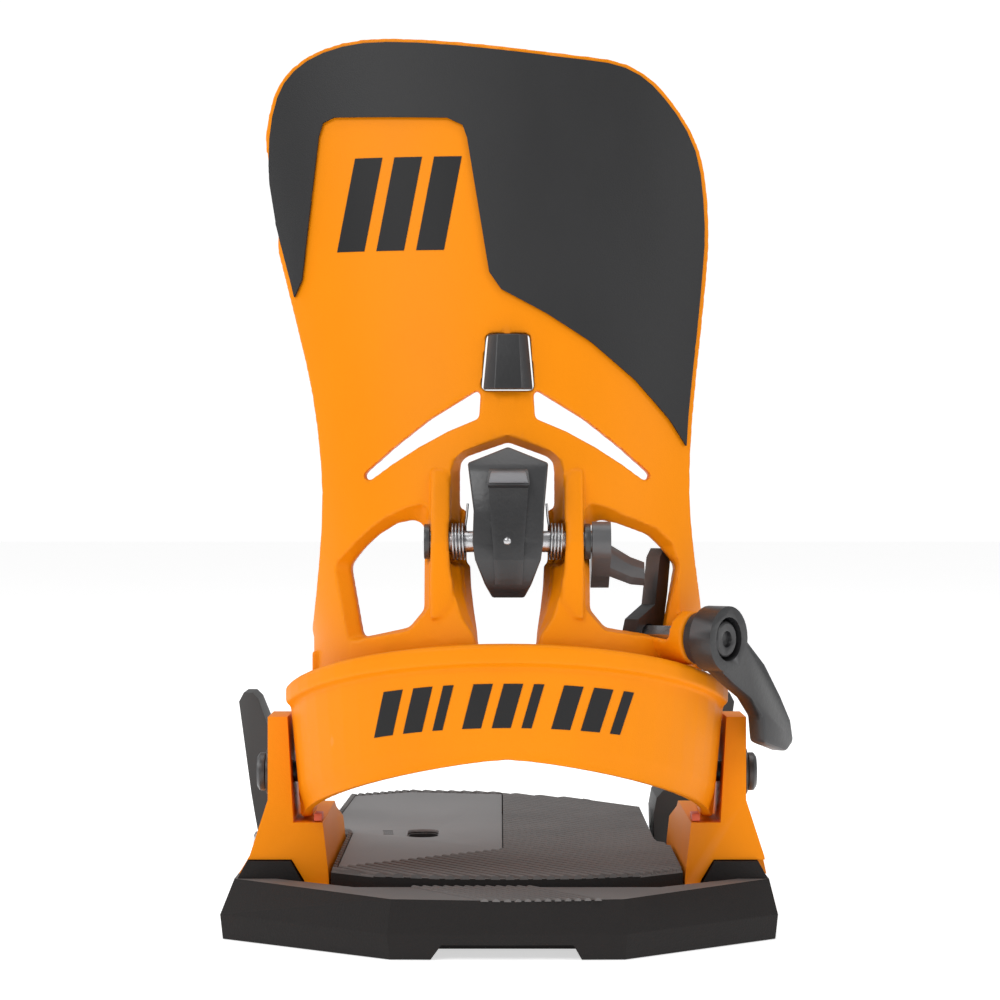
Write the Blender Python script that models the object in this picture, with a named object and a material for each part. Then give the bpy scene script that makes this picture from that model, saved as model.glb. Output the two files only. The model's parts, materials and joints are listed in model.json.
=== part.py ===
"""Step-in snowboard binding for the right foot.

The origin is the centre of the mounting disc on the board's surface. +Y points to the toes,
+X to the outer side of the foot and +Z up. Sizes are millimetres; MM turns them into metres.
"""
import math

import bmesh
import bpy
from mathutils import Matrix, Vector

MM = 0.001

# ---------------------------------------------------------------- driving dimensions
FIT = 0.3                    # air between pieces that touch or run in each other

# Base
CUSHION_FLOOR = 5.0          # foam under the chassis
CUSHION_HEIGHT = 16.0        # top of the foam's rear ledge
CUSHION_WAIST = 7.0          # height of the foam's widest line
BUMPER_RISE = 5.0            # from the ledge to the top of the foam bumpers at the posts' feet
RIGHT_SHIFT = 2.5            # how much nearer the middle the right bumper is
HEEL_Y = -135.0              # rearmost edge of the base
FRONT_RIGHT = 48.0           # the toe end is narrower than the heel end
FRONT_LEFT = -61.0
CHASSIS_FLOOR = 7.0          # thickness of the chassis floor plate
POST_TOP = 62.5              # top of the side posts
POST_REAR_Y = -86.0
POST_WALL = 5.7
LEDGE_Z = 32.0               # shelf in the post that the heelcup arm rests on
FOOTBED_THICKNESS = 5.0
HEAD_ROOM = 0.9              # from the chassis floor to the footbed

# Mounting disc
DISC_RADIUS = 36.2
DISC_FLANGE = 4.0
BOARD_HOLE_SPACING = 40.0
SCREW_RADIUS = 3.0
SCREW_HEAD_RADIUS = 5.5

# Heelcup
CUP_HALF_WIDTH = 62.5        # the posts, rails and base keep their distance from it
CUP_DEPTH = 51.0             # from the arms' bend to the rear
CUP_BEND_Y = -80.0
CUP_WALL = 3.6
CUP_TOP_Z = 85.7
CUP_LOW_Z = 53.7
CUP_LIP = 2.4                # how far the top lip stands out
CUP_LIP_HEIGHT = 5.0
CUP_ARM_END_Y = -61.0
CUP_LEAN = 2.8               # how much narrower the cup is at its lower edge
CUP_BOLT_Y = -72.0
CUP_BOLT_Z = 45.5
CUP_BOLT_RADIUS = 3.0

# Highback
SHELL_REAR_Y = -123.5
SHELL_LEAN = 0.26            # forward travel for each millimetre of height
SHELL_STRAIGHT_Z = 85.0      # below this height the shell stands upright
CUP_TO_SHELL = 6.3           # from the heelcup's outside to the shell's
SHELL_FLARE = 0.22
SHELL_DEPTH = 48.0
SHELL_TOP_WALL = 4.5
SHELL_LOW_WALL = 7.0
SHELL_BOTTOM_Z = 65.0
PIVOT_Y = -80.0
PIVOT_Z = 60.0
PIVOT_RADIUS = 3.0
RIM_DEPTH = 5.5              # depth of the sloping rims of the windows
EAR_RADIUS = 8.0
EAR_WALL = 3.6

# Heel latch
AXLE_Y = -112.5
AXLE_Z = 113.4
AXLE_RADIUS = 3.0
SPRING_MEAN_RADIUS = 4.9
SPRING_WIRE = 0.35
SPRING_TURNS = 4
SPRING_PITCH = 0.95
SPRING_SEAT_RADIUS = 6.6
CRANK_HUB_RADIUS = 5.6
HUB_SEAT_RADIUS = CRANK_HUB_RADIUS + 0.4
YOKE_INNER = 13.3
YOKE_OUTER = 21.3
CAP_THICKNESS = 1.6
CRANK_GAP = 2.4              # from the yoke to the crank
CRANK_THICKNESS = 5.2
CRANK_LINK_RADIUS = 3.6

# Release lever
LEVER_TILT = math.radians(39.0)      # the lever's shaft points outwards and this much rearwards
SHAFT_RADIUS = 3.4
HUB_RADIUS = 9.25
HUB_START = 12.0
HUB_END = 19.0
CAM_PLANE = -10.8
CAM_ROOM = 3.6               # how much wider the right window is, for the cam

# Toe hooks
HOOK_CENTRE_X = -6.5
HOOK_INNER = 55.8
HOOK_REAR_Y = 48.0
HOOK_FRONT_Y = 84.0
HOOK_SEAT = 76.0             # screw seat, from the middle of the two hooks
HOOK_SCREW_Z = 8.9
HOOK_SCREW_EDGE = 9.0
HOOK_SCREW_RADIUS = 2.5
HOOK_SCREW_LENGTH = 30.0

BUMPER_TOP = CUSHION_HEIGHT + BUMPER_RISE
BUMPER_FOOT = CUSHION_HEIGHT - 0.7
POST_INNER = CUP_HALF_WIDTH + 0.8
POST_OUTER = POST_INNER + POST_WALL
FOOT_INNER = CUP_HALF_WIDTH + 4.0
RAIL_INNER = CUP_HALF_WIDTH - 11.2   # half the width between the side rails
LEDGE_INNER = RAIL_INNER + 1.8
NUT_INNER = LEDGE_INNER + 1.1
SHELL_HALF_WIDTH = CUP_HALF_WIDTH - CUP_TO_SHELL
CHASSIS_BOTTOM = CUSHION_FLOOR + FIT
CHASSIS_TOP = CHASSIS_BOTTOM + CHASSIS_FLOOR
FOOTBED_BOTTOM = CHASSIS_TOP + HEAD_ROOM
FOOTBED_TOP = FOOTBED_BOTTOM + FOOTBED_THICKNESS
LEVER_BASE = Vector((SHELL_HALF_WIDTH - 9.2, -103.1, 86.2))
CRANK_END = Vector((LEVER_BASE.x - 9.0, -97.0, 104.0))
AXLE = Vector((0.0, AXLE_Y, AXLE_Z))
PIVOT = Vector((0.0, PIVOT_Y, PIVOT_Z))
LEVER_AXIS = Vector((math.cos(LEVER_TILT), -math.sin(LEVER_TILT), 0.0))
LEVER_SIDE = Vector((math.sin(LEVER_TILT), math.cos(LEVER_TILT), 0.0))
X_AXIS = Vector((1.0, 0.0, 0.0))
Z_AXIS = Vector((0.0, 0.0, 1.0))


# ---------------------------------------------------------------- materials
def material(name, colour, roughness, metallic=0.0):
    mat = bpy.data.materials.new(name)
    mat.use_nodes = True
    shader = mat.node_tree.nodes["Principled BSDF"]
    shader.inputs["Base Color"].default_value = (*colour, 1.0)
    shader.inputs["Roughness"].default_value = roughness
    shader.inputs["Metallic"].default_value = metallic
    mat.diffuse_color = (*colour, 1.0)
    return mat


def make_materials():
    return {
        "orange": material("orange_nylon", (0.95, 0.30, 0.01), 0.45),
        "dark": material("dark_nylon", (0.03, 0.03, 0.032), 0.5),
        "foam": material("dark_foam", (0.04, 0.038, 0.038), 0.85),
        "grey": material("grey_rubber", (0.16, 0.16, 0.16), 0.8),
        "black": material("black_metal", (0.015, 0.015, 0.015), 0.35, 0.6),
        "steel": material("steel", (0.6, 0.6, 0.6), 0.3, 1.0),
        "amber": material("amber_rubber", (0.85, 0.2, 0.06), 0.6),
    }


# ---------------------------------------------------------------- solids
def arc(centre, radius, start, end, steps):
    """Points on an arc, in degrees, both ends included."""
    points = []
    for i in range(steps + 1):
        angle = math.radians(start + (end - start) * i / steps)
        points.append((centre[0] + radius * math.cos(angle), centre[1] + radius * math.sin(angle)))
    return points


def spline(points, steps):
    """A smooth closed outline through the points."""
    curve = []
    count = len(points)
    for i in range(count):
        p0, p1, p2, p3 = (Vector(points[(i + k) % count]) for k in (-1, 0, 1, 2))
        for step in range(steps):
            t = step / steps
            curve.append(tuple(0.5 * (2 * p1 + (p2 - p0) * t + (2 * p0 - 5 * p1 + 4 * p2 - p3) * t * t
                                      + (3 * p1 - p0 - 3 * p2 + p3) * t ** 3)))
    return curve


def mirrored(outline):
    """The same outline on the other side of X = 0."""
    return [(-a, b) for a, b in reversed(outline)]


def placed(outline, axis, level):
    """Stands a flat outline at one level of an axis."""
    if axis == "X":
        return [Vector((level, a, b)) for a, b in outline]
    if axis == "Y":
        return [Vector((a, level, b)) for a, b in outline]
    return [Vector((a, b, level)) for a, b in outline]


class Solid:
    """Closed skins, built up in millimetres in the binding's own frame."""

    def __init__(self):
        self.bm = bmesh.new()

    def loft(self, rings, closed=False):
        """Skins a row of outlines that have the same number of points."""
        bands = [[self.bm.verts.new(point) for point in ring] for ring in rings]
        count = len(bands[0])
        pairs = list(zip(bands, bands[1:]))
        if closed:
            pairs.append((bands[-1], bands[0]))
        for low, high in pairs:
            for i in range(count):
                j = (i + 1) % count
                self.bm.faces.new((low[i], low[j], high[j], high[i]))
        if not closed:
            self.bm.faces.new(list(reversed(bands[0])))
            self.bm.faces.new(bands[-1])
        return self

    def prism(self, outline, axis, low, high):
        return self.loft([placed(outline, axis, low), placed(outline, axis, high)])

    def box(self, low, high):
        outline = [(low[0], low[1]), (high[0], low[1]), (high[0], high[1]), (low[0], high[1])]
        return self.prism(outline, "Z", low[2], high[2])

    def turned(self, profile, start, direction, segments=24, closed=False):
        """Turns (distance, radius) pairs about a line; a closed profile makes a ring."""
        direction = direction.normalized()
        side = direction.orthogonal().normalized()
        other = direction.cross(side)
        rings = []
        for distance, radius in profile:
            centre = Vector(start) + direction * distance
            rings.append([centre + radius * (math.cos(a) * side + math.sin(a) * other)
                          for a in (2 * math.pi * i / segments for i in range(segments))])
        return self.loft(rings, closed)

    def cylinder(self, start, direction, length, radius, segments=24):
        return self.turned([(0, radius), (length, radius)], start, direction, segments)

    def ring(self, start, direction, length, inner, outer, segments=24):
        profile = [(0, inner), (length, inner), (length, outer), (0, outer)]
        return self.turned(profile, start, direction, segments, closed=True)

    def moved(self, matrix):
        bmesh.ops.transform(self.bm, matrix=matrix, verts=self.bm.verts)
        return self


def is_flat(face):
    """Tells whether all of a face's corners lie in one plane."""
    face.normal_update()
    start = face.verts[0].co
    return all(abs((vert.co - start).dot(face.normal)) < 0.001 for vert in face.verts)


def object_from(solid, name, origin):
    bm = solid.bm
    bmesh.ops.triangulate(bm, faces=[face for face in bm.faces if not is_flat(face)])
    bmesh.ops.recalc_face_normals(bm, faces=bm.faces)
    bmesh.ops.transform(bm, matrix=Matrix.Translation(-Vector(origin)), verts=bm.verts)
    bmesh.ops.scale(bm, vec=(MM, MM, MM), verts=bm.verts)
    mesh = bpy.data.meshes.new(name)
    bm.to_mesh(mesh)
    bm.free()
    mesh.shade_smooth()
    mesh.set_sharp_from_angle(angle=math.radians(35))
    obj = bpy.data.objects.new(name, mesh)
    bpy.context.scene.collection.objects.link(obj)
    return obj


def part(name, solid, mat, origin=(0, 0, 0), parent=None):
    """One piece of the binding, with its origin where it is placed or turns."""
    obj = object_from(solid, name, origin)
    obj.data.materials.append(mat)
    obj.matrix_world = Matrix.Translation(Vector(origin) * MM)
    if parent:
        obj.parent = parent
        obj.matrix_parent_inverse = parent.matrix_world.inverted()
    obj["piece_origin"] = [float(value) for value in origin]
    return obj


def combine(target, solid, operation):
    """Cuts, joins or intersects a piece with a helper solid."""
    helper = object_from(solid, f"{target.name}_{operation.lower()}", target["piece_origin"])
    helper.parent = target
    helper.hide_render = True
    helper.display_type = "WIRE"
    modifier = target.modifiers.new(operation.title(), "BOOLEAN")
    modifier.operation = operation
    modifier.solver = "EXACT"
    modifier.use_self = True
    modifier.object = helper
    return target


def bevel(target, width, segments=1, angle=35):
    modifier = target.modifiers.new("Edges", "BEVEL")
    modifier.width = width * MM
    modifier.segments = segments
    modifier.limit_method = "ANGLE"
    modifier.angle_limit = math.radians(angle)
    return target


def joint_empty(name, place):
    empty = bpy.data.objects.new(name, None)
    bpy.context.scene.collection.objects.link(empty)
    empty.matrix_world = Matrix.Translation(Vector(place) * MM)
    empty.empty_display_size = 10 * MM
    return empty


# ---------------------------------------------------------------- base
SIDE = CUP_HALF_WIDTH
CUSHION_PLAN = [(-32, HEEL_Y + 0.8), (0, HEEL_Y), (32, HEEL_Y + 0.8), (SIDE + 14.0, -96), (SIDE + 12.5, 18),
                (FRONT_RIGHT, 34), (FRONT_RIGHT, 88), (30, 118), (-10, 144), (-38, 148),
                (-59, 131), (FRONT_LEFT, 34), (-SIDE - 16.5, 18), (-SIDE - 18.5, -96)]
CUSHION_TOP_PLAN = [(-31.8, HEEL_Y + 4), (0, HEEL_Y + 0.4), (31.8, HEEL_Y + 4), (SIDE + 13.0, -87),
                    (SIDE + 11.5, 16),
                    (FRONT_RIGHT - 1, 33), (FRONT_RIGHT - 1, 86), (29, 116), (-10, 142), (-37, 146),
                    (-58, 130), (FRONT_LEFT + 1, 33), (-SIDE - 15.0, 16), (-SIDE - 16.0, -87)]
POCKET_SIDE = FOOT_INNER + 0.5
POCKET_PLAN = [(-43, -106), (43, -106), (POCKET_SIDE, -87), (POCKET_SIDE, 11), (44, 24), (44, 86), (25, 114),
               (20, 170), (-48, 170), (-55, 128), (-57, 24), (-POCKET_SIDE, 11), (-POCKET_SIDE, -87)]


def widened(plan, amount):
    """Moves an outline's points away from the origin."""
    return [(a + math.copysign(amount, a) if abs(a) > 1 else a, b + math.copysign(amount, b)) for a, b in plan]


def cut_hook_screws(cutter):
    """Adds the bores for the toe hooks' screws to a cutter."""
    for side in (-1, 1):
        for start in hook_screw_lines(side):
            cutter.cylinder(start, X_AXIS * -side, HOOK_SCREW_LENGTH + 1.0, HOOK_SCREW_RADIUS + FIT, 16)


def base_cushion(mats):
    """Dark foam base with a raised rear notch, a rear ledge and a pocket for the chassis."""
    rings = [placed(CUSHION_PLAN, "Z", 0), placed(widened(CUSHION_PLAN, 0.7), "Z", CUSHION_WAIST),
             placed(CUSHION_TOP_PLAN, "Z", CUSHION_HEIGHT)]
    base = part("base_cushion", Solid().loft(rings), mats["foam"])
    bumper = [(-SIDE - 15.7, BUMPER_FOOT - 1.3), (-SIDE - 15.5, BUMPER_FOOT), (-SIDE - 12.4, BUMPER_TOP),
              (-SIDE + 0.2, BUMPER_TOP), (-SIDE + 3.3, BUMPER_FOOT), (-SIDE + 3.8, BUMPER_FOOT - 1.3)]
    cutter = Solid().prism(POCKET_PLAN, "Z", CUSHION_FLOOR, 40)
    cutter.box((-90, 17, FOOTBED_BOTTOM - FIT), (90, 160, 40))
    cut_hook_screws(cutter)
    cutter.prism([(-21.6, -1), (-18, 4), (18, 4), (20.8, -1)], "Y", HEEL_Y - 5, HEEL_Y + 20)
    cutter.cylinder((0, 0, -1), Z_AXIS, CUSHION_FLOOR + 2, DISC_RADIUS + 7, 48)
    combine(base, cutter, "DIFFERENCE")
    for side in (-1, 1):
        combine(base, Solid().prism(on_side(bumper, side), "Y", POST_REAR_Y - 1.5, POST_REAR_Y + 7), "UNION")
    return base


def on_side(outline, side):
    """A left-hand outline, or its likeness on the slightly narrower right."""
    return outline if side < 0 else [(a - RIGHT_SHIFT, b) for a, b in mirrored(outline)]


def post_section(side):
    """One side of the chassis seen from the rear: floor edge, flared foot and tall post."""
    foot_out = SIDE + (15.5 if side < 0 else 15.5 - RIGHT_SHIFT)
    outline = [(POST_OUTER, POST_TOP), (POST_OUTER, LEDGE_Z + 6.5), (POST_OUTER + 5.2, CUSHION_HEIGHT + 6.5),
               (foot_out, CUSHION_HEIGHT + FIT), (FOOT_INNER, CUSHION_HEIGHT + FIT), (FOOT_INNER, CHASSIS_BOTTOM),
               (RAIL_INNER, CHASSIS_BOTTOM), (RAIL_INNER, CUSHION_HEIGHT), (LEDGE_INNER, LEDGE_Z),
               (SIDE - 0.9, LEDGE_Z), (POST_INNER, POST_TOP)]
    return outline if side > 0 else mirrored(outline)


def chassis(mats):
    """Orange floor plate with a flared post and a falling rail on each side."""
    edge = SIDE - 2.5
    plan = [(-43, -102), (43, -102), (edge, -84), (edge, 10), (43.5, 23), (43.5, 85), (26, 96), (-50, 96),
            (-54, 90), (-56.5, 23), (-edge, 10), (-edge, -84)]
    floor = Solid().prism(plan, "Z", CHASSIS_BOTTOM, CHASSIS_TOP)
    body = part("chassis", floor, mats["orange"])
    rail = [(POST_REAR_Y, CHASSIS_BOTTOM - 1), (POST_REAR_Y, 70), (-66, 70), (-62, 58), (-46, 44), (-20, 30),
            (8, 24), (8, CHASSIS_BOTTOM - 1)]
    for side in (-1, 1):
        post = part(f"post_blank_{side}", Solid().prism(post_section(side), "Y", POST_REAR_Y, 12), mats["orange"])
        combine(post, Solid().prism(rail, "X", -90, 90), "INTERSECT")
        post.hide_render = True
        post.display_type = "WIRE"
        join = body.modifiers.new(f"Post {side}", "BOOLEAN")
        join.operation = "UNION"
        join.object = post
    cutter = Solid()
    cutter.turned([(CHASSIS_BOTTOM - 1, DISC_RADIUS + FIT), (8.5, DISC_RADIUS + FIT),
                   (8.5, DISC_RADIUS + DISC_FLANGE + FIT), (20, DISC_RADIUS + DISC_FLANGE + FIT)],
                  (0, 0, 0), Z_AXIS, 48)
    bumper = [(-SIDE - 17.5, CUSHION_HEIGHT - 3), (-SIDE - 17.5, BUMPER_TOP + FIT),
              (-SIDE + 0.4, BUMPER_TOP + FIT), (-SIDE + 4.0, BUMPER_FOOT), (-SIDE + 4.8, CUSHION_HEIGHT - 3)]
    for side in (-1, 1):
        cutter.prism(on_side(bumper, side), "Y", POST_REAR_Y - 3, POST_REAR_Y + 7 + FIT)
        bolt_start = (side * (SIDE - 17.5), CUP_BOLT_Y, CUP_BOLT_Z)
        cutter.cylinder(bolt_start, X_AXIS * side, 40, CUP_BOLT_RADIUS + FIT)
    cut_hook_screws(cutter)
    return combine(body, cutter, "DIFFERENCE")


def footbed_plan(inset=0.0):
    half = RAIL_INNER - 0.6 - inset
    return [(-half, -87 + inset), (-38, -98 + inset), (-20, -103.5 + inset), (0, -105 + inset),
            (20, -103.5 + inset), (38, -98 + inset), (half, -87 + inset), (half, -30), (half - 4.2, -15),
            (half - 4.2, 84), (28, 112 - inset), (-8, 138 - inset), (-36, 143 - inset),
            (-56 + inset, 127), (-58.5 + inset, 30), (-half, 8)]


def window_slot(margin):
    """Outline of the small sight window in the footbed."""
    centre = (-26.6, 6.6)
    radius = 4.5 + margin
    straight = 7.0
    top = arc((centre[0], centre[1] + straight), radius, 0, 180, 8)
    bottom = arc((centre[0], centre[1] - straight), radius, 180, 360, 8)
    return top + bottom


PAD_EDGE = RAIL_INNER - 1.9
PAD_PLAN = [(-1, -38), (-1, 132), (-35, 139.5), (-54.4, 125), (-56.9, 31), (-PAD_EDGE, 9), (-PAD_EDGE, -82.5)]
PAD_RECESS = 1.0


def footbed(mats):
    """Stiff plate under the boot, with a recess for its smooth pad and a sight window."""
    bed = part("footbed", Solid().prism(footbed_plan(), "Z", FOOTBED_BOTTOM, FOOTBED_TOP), mats["dark"])
    cutter = Solid().prism(PAD_PLAN, "Z", FOOTBED_TOP - PAD_RECESS, FOOTBED_TOP + 5)
    combine(bed, cutter, "DIFFERENCE")
    combine(bed, Solid().prism(window_slot(0), "Z", 0, 40), "DIFFERENCE")
    inner = [(a + (FIT * 1.2 if a < -10 else -FIT * 1.2), b + (FIT * 2 if b < 0 else -FIT * 2)) for a, b in PAD_PLAN]
    pad_body = Solid().prism(inner, "Z", FOOTBED_TOP - PAD_RECESS + FIT, FOOTBED_TOP + FIT)
    pad = part("footbed_pad", pad_body, mats["grey"])
    combine(pad, Solid().prism(window_slot(0.4), "Z", 0, 40), "DIFFERENCE")
    return bed


def toe_ramp(mats):
    """Wedge under the ball of the foot; it slides out to suit the boot's length."""
    outline = [(-46, 98), (16, 98), (16, 124), (-8, 140), (-34, 146), (-46, 140)]
    low = placed(outline, "Z", CHASSIS_BOTTOM)
    high = placed(outline, "Z", FOOTBED_BOTTOM - FIT)
    for point in high:
        if point.y > 130:
            point.z -= 3.0
    return part("toe_ramp", Solid().loft([low, high]), mats["dark"], (0, 120, CHASSIS_BOTTOM))


def mounting_disc(mats):
    """Toothed disc that clamps the chassis to the board, with its four board screws."""
    teeth = 48
    flange = DISC_RADIUS + DISC_FLANGE
    profile = [(0, DISC_RADIUS - 0.6), (0.6, DISC_RADIUS), (8.8, DISC_RADIUS), (8.8, flange), (12.0, flange)]
    disc = part("mounting_disc", Solid().turned(profile, (0, 0, 0), Z_AXIS, teeth), mats["dark"])
    cutter = Solid()
    half = BOARD_HOLE_SPACING / 2
    for number, (sx, sy) in enumerate(((-1, -1), (1, -1), (1, 1), (-1, 1)), 1):
        place = (sx * half, sy * half, 0)
        cutter.turned([(-1, SCREW_RADIUS + FIT), (6.0, SCREW_RADIUS + FIT), (9.0, SCREW_HEAD_RADIUS + FIT),
                       (15, SCREW_HEAD_RADIUS + FIT)], place, Z_AXIS, 20)
        screw = Solid().turned([(0.6, SCREW_RADIUS), (6.0, SCREW_RADIUS), (9.0, SCREW_HEAD_RADIUS),
                                (11.0, SCREW_HEAD_RADIUS), (11.4, 2.4), (9.6, 2.2)], place, Z_AXIS, 20)
        part(f"board_screw_{number}", screw, mats["steel"], place)
    combine(disc, cutter, "DIFFERENCE")
    return disc


# ---------------------------------------------------------------- heelcup
def cup_plan(half_width, depth, steps):
    """Plan points from the left arm's end round the heel to the right arm's end."""
    points = [(-half_width, CUP_ARM_END_Y)]
    points += [(-half_width * math.cos(a), CUP_BEND_Y - depth * math.sin(a))
               for a in (math.pi * i / steps for i in range(steps + 1))]
    return points + [(half_width, CUP_ARM_END_Y)]


def cup_edges(y):
    """Top and lower edge heights of the heelcup at one place along the binding."""
    travel = max(0.0, y - (CUP_BEND_Y - CUP_DEPTH))
    top = CUP_TOP_Z - 0.34 * travel
    low = CUP_LOW_Z - 22.0 * (travel / 56.0) ** 0.7
    return top, max(low, LEDGE_Z + 0.6)


def heelcup(mats):
    """Ring round the boot's heel, with a lip along its top and arms inside the posts."""
    steps = 30
    rings = []
    for x, y in cup_plan(CUP_HALF_WIDTH, CUP_DEPTH, steps):
        top, low = cup_edges(y)
        out = Vector((x / CUP_HALF_WIDTH ** 2, min(0.0, y - CUP_BEND_Y) / CUP_DEPTH ** 2)).normalized()
        drop = top - low
        lip = CUP_LIP if y < POST_REAR_Y + 1 else 0.0
        lip *= min(1.0, max(0.0, (POST_REAR_Y + 1 - y) / 3.0))
        section = [(-CUP_WALL, top), (lip - 0.8, top), (lip, top - 0.8), (lip, top - CUP_LIP_HEIGHT),
                   (0.0, top - CUP_LIP_HEIGHT - 1.2), (-0.75 * CUP_LEAN, low + 0.2 * drop),
                   (-CUP_LEAN, low), (-CUP_LEAN - CUP_WALL + 0.6, low), (-CUP_LEAN - CUP_WALL, low + 1.2)]
        rings.append([Vector((x + out.x * offset, y + out.y * offset, height)) for offset, height in section])
    cup = part("heelcup", Solid().loft(rings), mats["orange"], (0, CUP_BEND_Y, PIVOT_Z))
    cutter = Solid()
    for side in (-1, 1):
        cutter.cylinder((side * (SIDE - 12.5), CUP_BOLT_Y, CUP_BOLT_Z), X_AXIS * side, 20, CUP_BOLT_RADIUS + FIT)
        cutter.cylinder((side * (SIDE - 12.5), PIVOT_Y, PIVOT_Z), X_AXIS * side, 20, PIVOT_RADIUS + FIT)
    return combine(cup, cutter, "DIFFERENCE")


def cup_fasteners(mats):
    """Bolt, washer, nut and spacer that hold each heelcup arm in its post."""
    for side, word in ((-1, "left"), (1, "right")):
        direction = X_AXIS * side
        outer = side * (POST_OUTER + FIT)
        place = Vector((outer, CUP_BOLT_Y, CUP_BOLT_Z))
        washer = Solid().ring(place, direction, 1.0, CUP_BOLT_RADIUS + FIT, 6.6)
        part(f"heelcup_washer_{word}", washer, mats["steel"], place)
        head = place + direction * (1.0 + FIT)
        length = POST_OUTER + FIT + 1.0 + FIT - NUT_INNER
        bolt = Solid().turned([(-length, CUP_BOLT_RADIUS), (0, CUP_BOLT_RADIUS), (0, 5.6), (1.6, 5.6), (2.4, 4.4),
                               (2.4, 2.2), (0.9, 2.0)], head, direction)
        part(f"heelcup_bolt_{word}", bolt, mats["black"], place)
        nut_place = Vector((side * (NUT_INNER - 0.3), CUP_BOLT_Y, CUP_BOLT_Z))
        nut = Solid().ring(nut_place, direction, 2.4, (CUP_BOLT_RADIUS + FIT) / math.cos(math.pi / 6), 5.6, 6)
        part(f"heelcup_nut_{word}", nut, mats["black"], nut_place)
        near, far = sorted((side * (LEDGE_INNER + 0.3), side * (LEDGE_INNER + 2.6)))
        low = (near, POST_REAR_Y + 1, LEDGE_Z + FIT)
        high = (far, POST_REAR_Y + 9, LEDGE_Z + 2.4)
        part(f"spacer_block_{word}", Solid().box(low, high), mats["amber"], low)


# ---------------------------------------------------------------- toe hooks
def hook_screw_lines(side):
    """Where the two screws of one toe hook seat, at the hook's outer face."""
    return [Vector((HOOK_CENTRE_X + side * HOOK_SEAT, y, HOOK_SCREW_Z))
            for y in (HOOK_REAR_Y + HOOK_SCREW_EDGE, HOOK_FRONT_Y - HOOK_SCREW_EDGE)]


def hook_section():
    """Half-width and height of a toe hook: inner bulge, seat and a blade that leans out."""
    bulge = [(57.2, 7.0), (56.0, 12.0), (HOOK_INNER, 20.0), (56.8, 25.5), (59.0, 28.0), (62.5, 28.6)]
    blade = [(67.0, 31.5), (70.5, 41.0), (77.0, 58.0), (79.0, 60.0), (82.0, 60.0), (83.5, 57.0), (77.5, 21.0)]
    return bulge + blade + [(75.0, 7.0)]


def toe_hooks(mats):
    for side, word in ((-1, "left"), (1, "right")):
        outline = [(HOOK_CENTRE_X + side * a, b) for a, b in hook_section()]
        length = HOOK_FRONT_Y - HOOK_REAR_Y
        hook = part(f"toe_hook_{word}", Solid().prism(outline, "Y", HOOK_REAR_Y, HOOK_FRONT_Y), mats["dark"],
                    (outline[0][0], HOOK_REAR_Y, 7.0))
        profile = [(HOOK_REAR_Y - 1, 6), (HOOK_REAR_Y - 1, 24), (HOOK_REAR_Y + 0.35 * length, 66),
                   (HOOK_FRONT_Y - 0.2 * length, 66), (HOOK_FRONT_Y + 1, 30), (HOOK_FRONT_Y + 1, 6)]
        combine(hook, Solid().prism(profile, "X", -100, 100), "INTERSECT")
        holes = Solid()
        for start, place in zip(hook_screw_lines(side), ("rear", "front")):
            bore = HOOK_SCREW_RADIUS + FIT
            head = HOOK_SCREW_RADIUS + 2.0
            holes.turned([(-24, bore), (-FIT, bore), (-FIT, head + FIT), (12, head + FIT)],
                         start, X_AXIS * side, 16)
            screw = Solid().turned([(-HOOK_SCREW_LENGTH, HOOK_SCREW_RADIUS), (0, HOOK_SCREW_RADIUS), (0, head),
                                    (1.7, head), (2.3, head - 0.9), (2.3, 1.9), (0.7, 1.7)],
                                   start, X_AXIS * side, 16)
            part(f"toe_hook_screw_{word}_{place}", screw, mats["steel"], start)
        combine(hook, holes, "DIFFERENCE")


# ---------------------------------------------------------------- highback
def shell_point(angle, z, inset=0.0):
    """A point on the highback's rear face, or inset towards the boot."""
    rise = max(0.0, z - SHELL_STRAIGHT_Z)
    half = SHELL_HALF_WIDTH + SHELL_FLARE * rise
    point = Vector((half * math.sin(angle), SHELL_REAR_Y + SHELL_LEAN * rise
                    + SHELL_DEPTH * (1 - math.cos(angle)), z))
    inward = Vector((-SHELL_DEPTH * math.sin(angle), half * math.cos(angle), 0)).normalized()
    return point + inward * inset


def shell_wall(z):
    """Wall thickness: thick round the latch, thinner towards the top."""
    blend = min(1.0, max(0.0, (z - 140.0) / 50.0))
    return SHELL_LOW_WALL + (SHELL_TOP_WALL - SHELL_LOW_WALL) * blend


DRAWN_HALF_WIDTH = 56.2      # the shell's half width that the outlines below are drawn for


def fitted(outline):
    """Lets an outline's parts beside the yoke follow the shell's half width."""
    stretch = (SHELL_HALF_WIDTH - YOKE_OUTER) / (DRAWN_HALF_WIDTH - YOKE_OUTER)
    return [(a + math.copysign(max(0.0, abs(a) - YOKE_OUTER), a) * (stretch - 1.0), b) for a, b in outline]


SILHOUETTE = [(-57, 55), (-57.2, 79.5), (-54.5, 97.5), (-52.6, 126), (-55.8, 155), (-63.1, 184.4), (-70.6, 214.5),
              (-70.2, 238.4), (-63.5, 252), (-48.3, 259), (-26, 259.5), (15.5, 255), (35, 252), (46.7, 243),
              (56.1, 227), (58.6, 205), (57.1, 184), (53.1, 149), (52, 126), (53.5, 108), (57, 82), (57, 55)]


def silhouette(inset=0.0):
    """The highback's outline seen from the rear; an inset shrinks it evenly."""
    curve = spline(fitted(SILHOUETTE), 3)
    if not inset:
        return curve
    count = len(curve)
    shrunk = []
    for i, point in enumerate(curve):
        along = (Vector(curve[(i + 1) % count]) - Vector(curve[i - 1])).normalized()
        shrunk.append((point[0] + along.y * inset, point[1] - along.x * inset))
    return shrunk


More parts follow.
